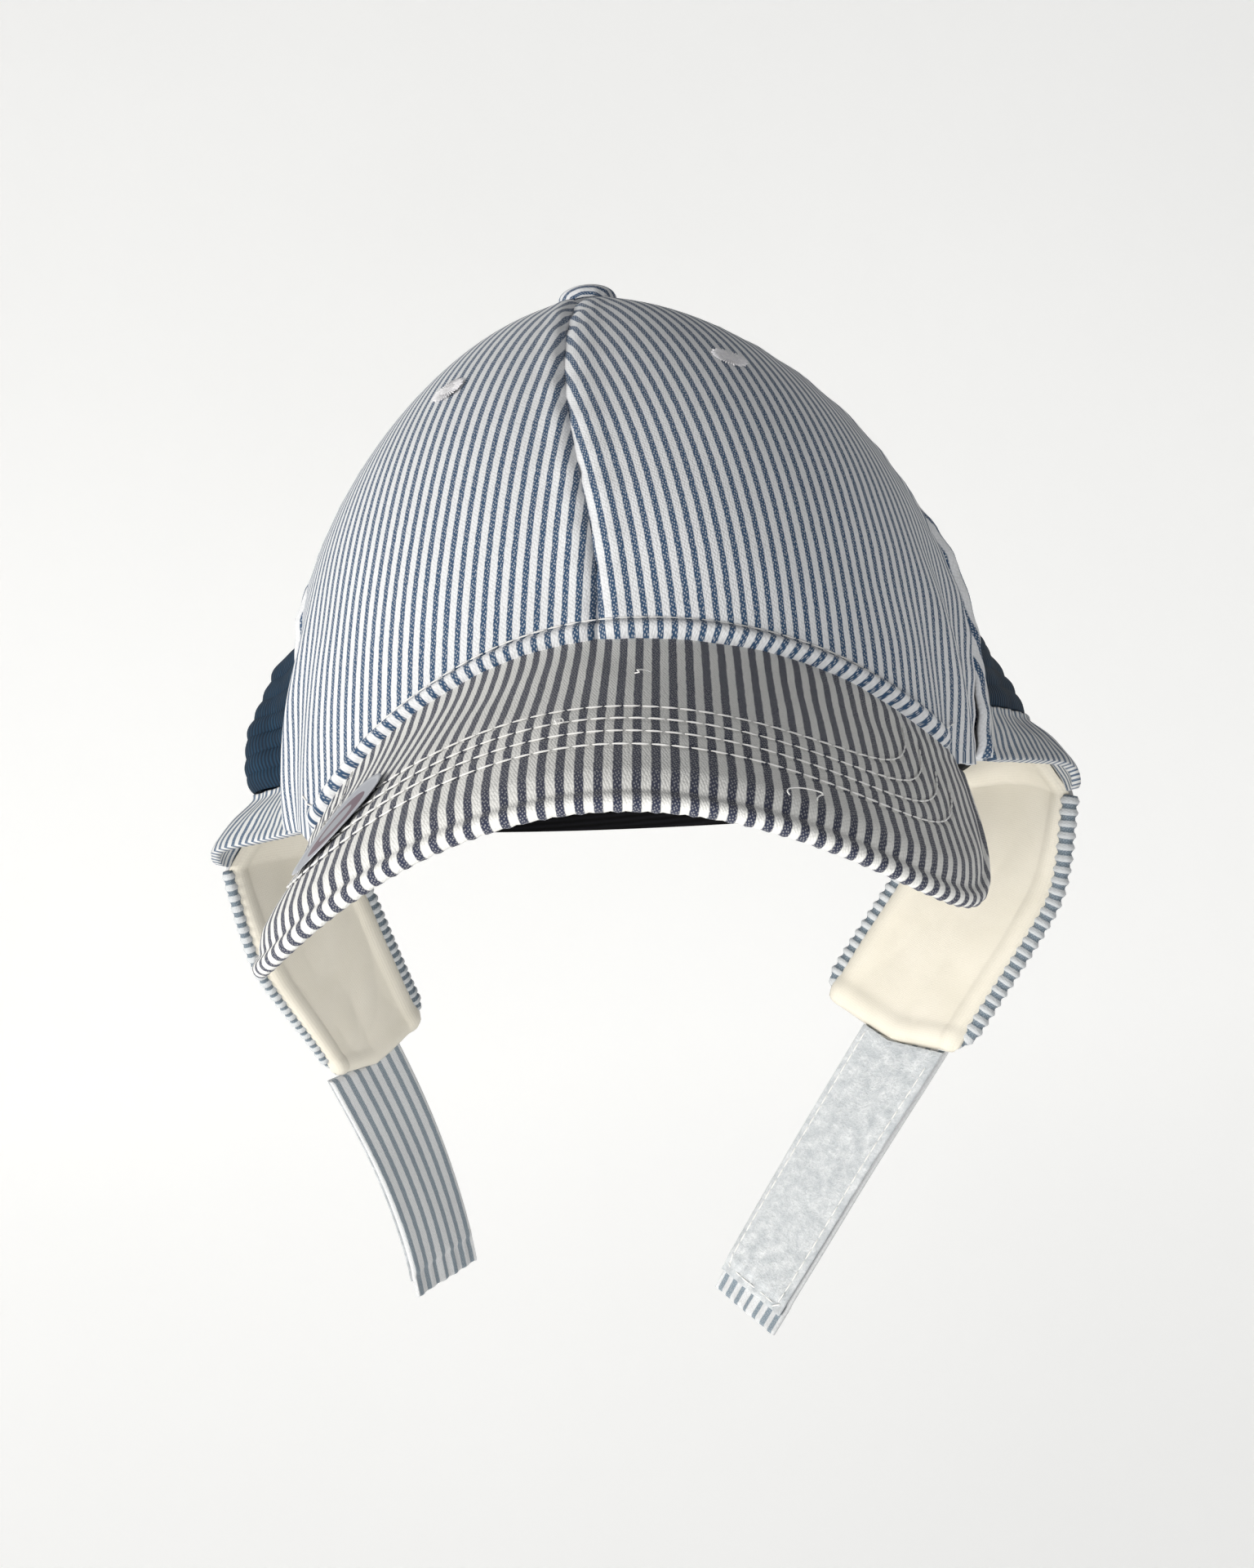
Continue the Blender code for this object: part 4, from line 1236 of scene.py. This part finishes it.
def build_flap(side_name):
    frames = hang_frames(side_name)
    seed = 3.0 if side_name == "left" else 8.0
    inner_share = 1.0 - (2.0 * BINDING_RADIUS + BINDING_GAP) * 2.0 / FLAP_WIDTH

    lining_end = FLAP_LENGTH - 0.0008

    def wrinkles(across, length):
        """Soft pulls, and a puffed edge that turns in at the binding."""
        soft = noise.noise((across * 1.6, length * 34.0, seed)) * 0.0006
        pulls = abs(noise.noise((across * 2.4 + length * 40.0, length * 60.0, seed + 5.0))) * 0.0004
        edge = (1.0 - abs(across) / (inner_share + 0.06)) * FLAP_WIDTH / 2.0
        below = lining_end - length
        puff = 0.0008 * hump(edge - 0.0030, 0.0018) + 0.0007 * hump(below - 0.0032, 0.0020)
        turn = 0.0011 * (1.0 - smooth_step(edge / 0.0016)) + 0.0011 * (1.0 - smooth_step(below / 0.0016))
        return min(turn, 0.0012) - puff - abs(soft) - pulls * min(1.0, edge / 0.004)

    shell = flap_layer(
        f"flap_outside_{side_name}", side_name, frames, inner_share + 0.05, (-0.0006, FLAP_LENGTH - 0.0030),
        0.0002, FLAP_CLOTH, FLAP_SHELL, 1.0, lambda across, length: 0.0,
    )
    keep(shell, "striped_cotton", f"flap_shell_{side_name}")
    lining = flap_layer(
        f"flap_inside_{side_name}", side_name, frames, inner_share + 0.06, (-0.0100, lining_end),
        -0.0004, LINING_CLOTH, FLAP_LINING, -1.0, wrinkles,
    )
    keep(lining, "lining_cotton", f"flap_lining_{side_name}")


def binding_route():
    """Places along the binding: across the flap, length down it, and how full the roll is there."""
    edge = 1.0 - BINDING_RADIUS * 2.0 / FLAP_WIDTH
    low = FLAP_LENGTH - BINDING_RADIUS
    corner = BINDING_RADIUS * 2.2
    corner_share = corner * 2.0 / FLAP_WIDTH
    route = []
    for i in range(120):
        route.append((-edge, (low - corner) * i / 119, 1.0))
    for i in range(1, 10):
        turn = math.pi / 2.0 * i / 10.0
        length = low - corner + corner * math.sin(turn)
        route.append((-edge + corner_share * (1.0 - math.cos(turn)), length, 1.0 - 0.05 * i))
    for i in range(41):
        route.append(((-edge + corner_share) * (1.0 - i / 20.0), low, 0.5))
    for i in range(1, 10):
        turn = math.pi / 2.0 * i / 10.0
        length = low - corner * (1.0 - math.cos(turn))
        route.append((edge - corner_share * (1.0 - math.sin(turn)), length, 0.5 + 0.05 * i))
    for i in reversed(range(120)):
        route.append((edge, (low - corner) * i / 119, 1.0))
    return route


def build_binding(side_name):
    frames = hang_frames(side_name)
    route = binding_route()
    spots = [flap_point(side_name, frames, across, length) for across, length, _ in route]
    ring = 16
    points, places = [], []
    run = 0.0
    for i, (across, length, full) in enumerate(route):
        low, high = spots[max(i - 1, 0)], spots[min(i + 1, len(spots) - 1)]
        along = (high - low).normalized()
        face = frame_at(frames, length)[2]
        beside = along.cross(face).normalized()
        face = beside.cross(along).normalized()
        if i:
            run += (spots[i] - spots[i - 1]).length
        puff = 1.0 + 0.19 * math.cos(2.0 * math.pi * (run / FLAP_STRIPE_PITCH + 0.5))
        slim = 0.72 if side_name == "right" and across < 0.0 else 1.0
        radius = BINDING_RADIUS * full * puff * slim
        middle = spots[i] + face * (BINDING_RADIUS * (1.0 - full) * 0.9)
        row, marks = [], []
        for j in range(ring + 1):
            turn = 2.0 * math.pi * j / ring
            row.append(middle + beside * (math.cos(turn) * radius) + face * (math.sin(turn) * radius))
            marks.append((run, turn * BINDING_RADIUS))
        points.append(row)
        places.append(marks)
    mesh_rows = [row[:-1] for row in points]
    name = f"flap_edge_roll_{side_name}"
    faces, corners_uv = [], []
    for i in range(len(mesh_rows) - 1):
        for j in range(ring):
            k = (j + 1) % ring
            faces.append((i * ring + j, i * ring + k, (i + 1) * ring + k, (i + 1) * ring + j))
            corners_uv += [places[i][j], places[i][j + 1], places[i + 1][j + 1], places[i + 1][j]]
    ends = (tuple(reversed(range(ring))), tuple(range((len(mesh_rows) - 1) * ring, len(mesh_rows) * ring)))
    faces += ends
    corners_uv += [(0.0, 0.0)] * ring + [(run, 0.0)] * ring
    rows = [p for row in mesh_rows for p in row]
    made = closed_piece(name, rows, faces, corners_uv, BINDING_CLOTH)
    keep(made, "striped_cotton", f"flap_binding_{side_name}")


for side_name in SIDES:
    build_flap(side_name)
    build_binding(side_name)


# The chin straps and their touch tape
# A flat striped strap hangs from each flap, folded and stitched at its end. The loop tape is sewn to the
# inside of one strap and the hook tape to the outside of the other.
STRAP_PITCH = 0.00329
STRAP_HEM = 0.009
TAPE_THICKNESS = 0.0012
TAPE_EDGE = 0.0003
TAPE_END_MARGIN = 0.005
TAPE_STITCH_INSET = 0.0017
STRAP_CLOTH = striped_cotton(
    "hickory_stripe_cotton_strap", STRAP_PITCH, "#dadbdc", "#7d8a94", 0.3, blue_share=0.42,
)


def build_ribbon(name, frames, width, thickness, lift, lengths, finish, relief, slant):
    """A flat strip with rounded edges that follows the hanging line from the flap's slanted end."""
    flat_points, round_points, rows = 26, 5, 120
    half = width / 2.0 - thickness / 2.0
    outline = []
    for i in range(flat_points + 1):
        outline.append((-half + 2.0 * half * i / flat_points, 1.0, 0.0))
    for i in range(1, round_points + 1):
        turn = math.pi * i / (round_points + 1)
        outline.append((half, math.cos(turn), math.sin(turn)))
    for i in range(flat_points + 1):
        outline.append((half - 2.0 * half * i / flat_points, -1.0, 0.0))
    for i in range(1, round_points + 1):
        turn = math.pi * i / (round_points + 1)
        outline.append((-half, -math.cos(turn), -math.sin(turn)))
    count = len(outline)
    points, marks = [], []
    for i in range(rows + 1):
        length = lengths[0] + (lengths[1] - lengths[0]) * i / rows
        for across, up, bulge in outline:
            side_place = across + bulge * thickness / 2.0
            outer = max((STRAP_OFFSET - side_place) * 2.0 / FLAP_WIDTH, 0.0)
            risen = slant * outer * (1.0 - smooth_step((length - lengths[0]) / 0.030))
            middle, wide, face = frame_at(frames, length - risen)
            thick = thickness / 2.0 * (1.0 if i not in (0, rows) else 0.6)
            swell = relief(side_place / (width / 2.0), length)
            out = lift + up * thick + swell * (1.0 if bulge == 0.0 else 0.4)
            points.append(middle + wide * (side_place - STRAP_OFFSET) + face * out)
            marks.append((side_place, length))
    faces = []
    for i in range(rows):
        for j in range(count):
            k = (j + 1) % count
            faces.append((i * count + j, i * count + k, (i + 1) * count + k, (i + 1) * count + j))
    faces.append(tuple(reversed(range(count))))
    faces.append(tuple(range(rows * count, (rows + 1) * count)))
    corner_marks = [marks[corner] for face in faces for corner in face]
    return closed_piece(name, points, faces, corner_marks, finish, sharp=60.0)


def touch_tape(name, dark, pale, grain, depth):
    """Touch tape: nylon pile, pale grey, mottled where the fibres lie different ways."""
    made, tree, shader = new_finish(name, 0.95, sheen=0.5)
    place = add(tree, "ShaderNodeUVMap", uv_map="cloth").outputs["UV"]
    pile = add(
        tree, "ShaderNodeTexNoise", {"Vector": place, "Scale": grain, "Detail": 6.0, "Roughness": 0.75},
    )
    brushed = add(tree, "ShaderNodeTexNoise", {"Vector": place, "Scale": 330.0, "Detail": 3.0})
    mixed = add(
        tree, "ShaderNodeMath", {0: pile.outputs["Fac"], 1: brushed.outputs["Fac"]}, operation="MULTIPLY",
    )
    spread = add(
        tree, "ShaderNodeMapRange", {"Value": mixed.outputs[0], "From Min": 0.12, "From Max": 0.42},
    )
    tint = add(
        tree, "ShaderNodeMix", {0: spread.outputs[0], 6: linear(dark), 7: linear(pale)}, data_type="RGBA",
    )
    tree.links.new(tint.outputs[2], shader.inputs["Base Color"])
    bump = add(tree, "ShaderNodeBump", {"Height": pile.outputs["Fac"], "Strength": 0.9, "Distance": depth})
    tree.links.new(bump.outputs[0], shader.inputs["Normal"])
    return made


def build_strap(side_name):
    frames = hang_frames(side_name)
    start = FLAP_LENGTH - 0.0004
    end = FLAP_LENGTH + STRAP_LENGTH
    seed = 2.0 if side_name == "left" else 6.0

    def relief(across, length):
        soft = noise.noise((across * 1.2, length * 28.0, seed)) * 0.0006
        hem = 0.0006 * smooth_step((length - end + STRAP_HEM) / 0.0015)
        pucker = 0.0003 * math.sin(across * 17.0) * smooth_step((length - end + STRAP_HEM + 0.002) / 0.004)
        return soft + hem + pucker

    strap = build_ribbon(
        f"chin_strap_{side_name}", frames, STRAP_WIDTH, STRAP_THICKNESS, 0.0, (start, end), STRAP_CLOTH,
        relief, FLAP_CUT[side_name][1],
    )
    keep(strap, "striped_cotton", f"strap_{side_name}")
    beside = (STRAP_THICKNESS / 2.0 + TAPE_THICKNESS / 2.0 + GAP) * (-1.0 if side_name == "left" else 1.0)
    tape_lengths = (FLAP_LENGTH + GAP, end - TAPE_END_MARGIN)
    return frames, relief, beside, tape_lengths, end


def tape_edge_line(frames, relief, lift, lengths, inset):
    """A sewn line round a tape, a little in from its edge."""
    half = STRAP_WIDTH / 2.0 - TAPE_EDGE - inset
    near, far = lengths[0] + inset, lengths[1] - inset
    stops = [(-half, near), (-half, far), (half, far), (half, near)]
    line = []
    for (a, c), (b, d) in zip(stops, stops[1:]):
        for i in range(60):
            t = i / 60
            across, length = a + (b - a) * t, c + (d - c) * t
            middle, wide, face = frame_at(frames, length)
            out = lift + relief(across / (STRAP_WIDTH / 2.0), length)
            line.append(middle + wide * (across - STRAP_OFFSET) + face * out)
    return line


LOOP_TAPE = touch_tape("nylon_loop_tape", "#bcc2c6", "#f2f4f5", 1300.0, 0.0006)
HOOK_TAPE = touch_tape("nylon_hook_tape", "#8f9498", "#d0d3d6", 1600.0, 0.0004)
for side_name, tape_name, node, tape_finish, slot_name in (
    ("left", "loop_tape", "loop_strip", LOOP_TAPE, "loop_tape"),
    ("right", "hook_tape", "hook_strip", HOOK_TAPE, "hook_tape"),
):
    frames, relief, beside, tape_lengths, end = build_strap(side_name)
    tape = build_ribbon(
        tape_name, frames, STRAP_WIDTH - 2.0 * TAPE_EDGE, TAPE_THICKNESS, beside, tape_lengths, tape_finish,
        lambda across, length: relief(across * 0.9, length), FLAP_CUT[side_name][1],
    )
    keep(tape, slot_name, node)
    outer = beside + math.copysign(TAPE_THICKNESS / 2.0 + 0.00005, beside)
    edge_line = tape_edge_line(frames, relief, outer, tape_lengths, TAPE_STITCH_INSET)
    sew(f"{tape_name}_stitches", [edge_line], slot_name, width=0.0004)


# The sticker
# A plain round size sticker of silver foil film near the peak's edge, with a plain ring printed on it.
STICKER_RADIUS = 0.0110
STICKER_ARC = -0.0505
STICKER_REACH = 0.034
STICKER_LIFT = 0.0005


def foil_film(name):
    """Metallised film: bright and smooth, a little crumpled, with a plain muted ring and disc."""
    made, tree, shader = new_finish(name, 0.42, metallic=0.5)
    place = add(tree, "ShaderNodeUVMap", uv_map="cloth").outputs["UV"]
    out = add(tree, "ShaderNodeVectorMath", {0: place}, operation="LENGTH")
    share = add(tree, "ShaderNodeMath", {0: out.outputs["Value"], 1: STICKER_RADIUS}, operation="DIVIDE")
    ring = add(tree, "ShaderNodeValToRGB", {0: share.outputs[0]})
    ramp = ring.color_ramp
    ramp.interpolation = "CONSTANT"
    ramp.elements[0].color = linear("#9a9ea6")
    ramp.elements[1].color = linear("#bcbfc5")
    for position, colour in ((0.36, "#5a3048"), (0.64, "#adb0b8"), (0.90, "#bcbfc5")):
        ramp.elements.new(position).color = linear(colour)
    tree.links.new(ring.outputs[0], shader.inputs["Base Color"])
    crumple = add(tree, "ShaderNodeTexNoise", {"Vector": place, "Scale": 200.0, "Detail": 2.0})
    bump = add(
        tree, "ShaderNodeBump", {"Height": crumple.outputs["Fac"], "Strength": 0.25, "Distance": 0.0004},
    )
    tree.links.new(bump.outputs[0], shader.inputs["Normal"])
    return made


def build_sticker():
    points, places = [], []
    rings, turns = 16, 64
    for i in range(rings + 1):
        radius = max(STICKER_RADIUS * i / rings, 0.00001)
        row, spots = [], []
        for j in range(turns + 1):
            turn = 2.0 * math.pi * j / turns
            x, y = radius * math.cos(turn), radius * math.sin(turn)
            lift = STICKER_LIFT + 0.00035 * smooth_step((i / rings - 0.8) / 0.2)
            row.append(peak_point(STICKER_ARC + x, STICKER_REACH + y, -lift))
            spots.append((x, y))
        points.append(row)
        places.append(spots)
    made = lay_cloth("foil_sticker", points, places, foil_film("silver_foil_film"), 0.00012, offset=0.0)
    weld = made.modifiers.new("closed", "WELD")
    weld.merge_threshold = 0.00002
    made.modifiers.move(1, 0)
    keep(made, "foil", "peak_sticker")


build_sticker()


# Floor, backdrop and light
# A pale sweep stands well behind and below the cap. A large soft light from the front left, a little under
# the camera, brightens the lower crown and the peak's rim, and an even pale surround fills the shade.
FLOOR_HEIGHT = -0.62
WALL_BACK = 1.25
SWEEP_RADIUS = 0.5
SWEEP_HALF_WIDTH = 4.0
SWEEP_FRONT = -3.0
SWEEP_TOP = 3.0
BACKDROP_GLOW = 0.26


def painted_paper(name, colour):
    made, tree, shader = new_finish(name, 0.95)
    place = add(tree, "ShaderNodeTexCoord").outputs["Object"]
    grain = add(tree, "ShaderNodeTexNoise", {"Vector": place, "Scale": 3.0, "Detail": 2.0})
    tint = add(
        tree, "ShaderNodeMix", {0: grain.outputs["Fac"], 6: linear(colour), 7: linear("#f6f6f5")},
        data_type="RGBA",
    )
    tree.links.new(tint.outputs[2], shader.inputs["Base Color"])
    shader.inputs["Emission Color"].default_value = linear(colour)
    shader.inputs["Emission Strength"].default_value = BACKDROP_GLOW
    return made


def build_sweep():
    profile = [(SWEEP_FRONT, FLOOR_HEIGHT), (WALL_BACK - SWEEP_RADIUS, FLOOR_HEIGHT)]
    for i in range(1, 17):
        turn = math.pi / 2.0 * i / 16.0
        profile.append((
            WALL_BACK - SWEEP_RADIUS + SWEEP_RADIUS * math.sin(turn),
            FLOOR_HEIGHT + SWEEP_RADIUS * (1.0 - math.cos(turn)),
        ))
    profile.append((WALL_BACK, SWEEP_TOP))
    points = [(x, y, z) for y, z in profile for x in (-SWEEP_HALF_WIDTH, SWEEP_HALF_WIDTH)]
    faces = [(2 * i, 2 * i + 1, 2 * i + 3, 2 * i + 2) for i in range(len(profile) - 1)]
    mesh = bpy.data.meshes.new("sweep")
    mesh.from_pydata(points, [], faces)
    mesh.shade_smooth()
    mesh.materials.append(painted_paper("pale_backdrop_paper", "#f1f1f0"))
    made = bpy.data.objects.new("sweep", mesh)
    bpy.context.scene.collection.objects.link(made)


build_sweep()


def soft_light(name, place, aim, size, power, colour):
    lamp = bpy.data.lights.new(name, "AREA")
    lamp.shape = "DISK"
    lamp.size = size
    lamp.energy = power
    lamp.color = linear(colour)[:3]
    made = bpy.data.objects.new(name, lamp)
    made.location = place
    made.rotation_mode = "QUATERNION"
    made.rotation_quaternion = (Vector(aim) - Vector(place)).to_track_quat("-Z", "Y")
    bpy.context.scene.collection.objects.link(made)


soft_light("key_light", (-1.30, -1.12, -0.10), (0.0, 0.0, 0.0), 0.60, 23.0, "#fffdf9")
soft_light("low_fill", (0.24, -1.15, -0.50), (0.0, 0.0, -0.04), 0.60, 6.0, "#ffffff")
world = bpy.data.worlds.new("surround")
world.use_nodes = True
surround = world.node_tree.nodes["Background"]
surround.inputs["Color"].default_value = linear("#f4f5f7")
toward = add(world.node_tree, "ShaderNodeTexCoord")
sideways = add(world.node_tree, "ShaderNodeSeparateXYZ", {0: toward.outputs["Generated"]})
strength = add(
    world.node_tree, "ShaderNodeMapRange",
    {"Value": sideways.outputs["X"], "From Min": -1.0, "From Max": 1.0, "To Min": 0.54, "To Max": 0.06},
)
world.node_tree.links.new(strength.outputs[0], surround.inputs["Strength"])
bpy.context.scene.world = world
bpy.context.scene.view_settings.view_transform = "Standard"


# The camera
# It stands in front of the cap a little below the rim, tilted up and rolled, as the photograph was taken.
CAMERA_PLACE = Vector((0.0244, -0.4591, -0.0313))
CAMERA_PITCH = math.radians(4.45)
CAMERA_YAW = math.radians(-3.24)
CAMERA_ROLL = math.radians(5.65)
FOCAL_PIXELS = 2472.0
IMAGE_LONG_SIDE = 1920.0
SENSOR = 36.0

forward = Vector((
    math.sin(CAMERA_YAW) * math.cos(CAMERA_PITCH),
    math.cos(CAMERA_YAW) * math.cos(CAMERA_PITCH),
    math.sin(CAMERA_PITCH),
))
level = Vector((math.cos(CAMERA_YAW), -math.sin(CAMERA_YAW), 0.0))
upright = level.cross(forward)
right = level * math.cos(CAMERA_ROLL) - upright * math.sin(CAMERA_ROLL)
upward = upright * math.cos(CAMERA_ROLL) + level * math.sin(CAMERA_ROLL)
lens = bpy.data.cameras.new("camera")
lens.sensor_width = SENSOR
lens.lens = SENSOR * FOCAL_PIXELS / IMAGE_LONG_SIDE
lens.clip_start = 0.02
camera = bpy.data.objects.new("camera", lens)
camera.matrix_world = Matrix((
    (right.x, upward.x, -forward.x, CAMERA_PLACE.x),
    (right.y, upward.y, -forward.y, CAMERA_PLACE.y),
    (right.z, upward.z, -forward.z, CAMERA_PLACE.z),
    (0.0, 0.0, 0.0, 1.0),
))
bpy.context.scene.collection.objects.link(camera)
bpy.context.scene.camera = camera
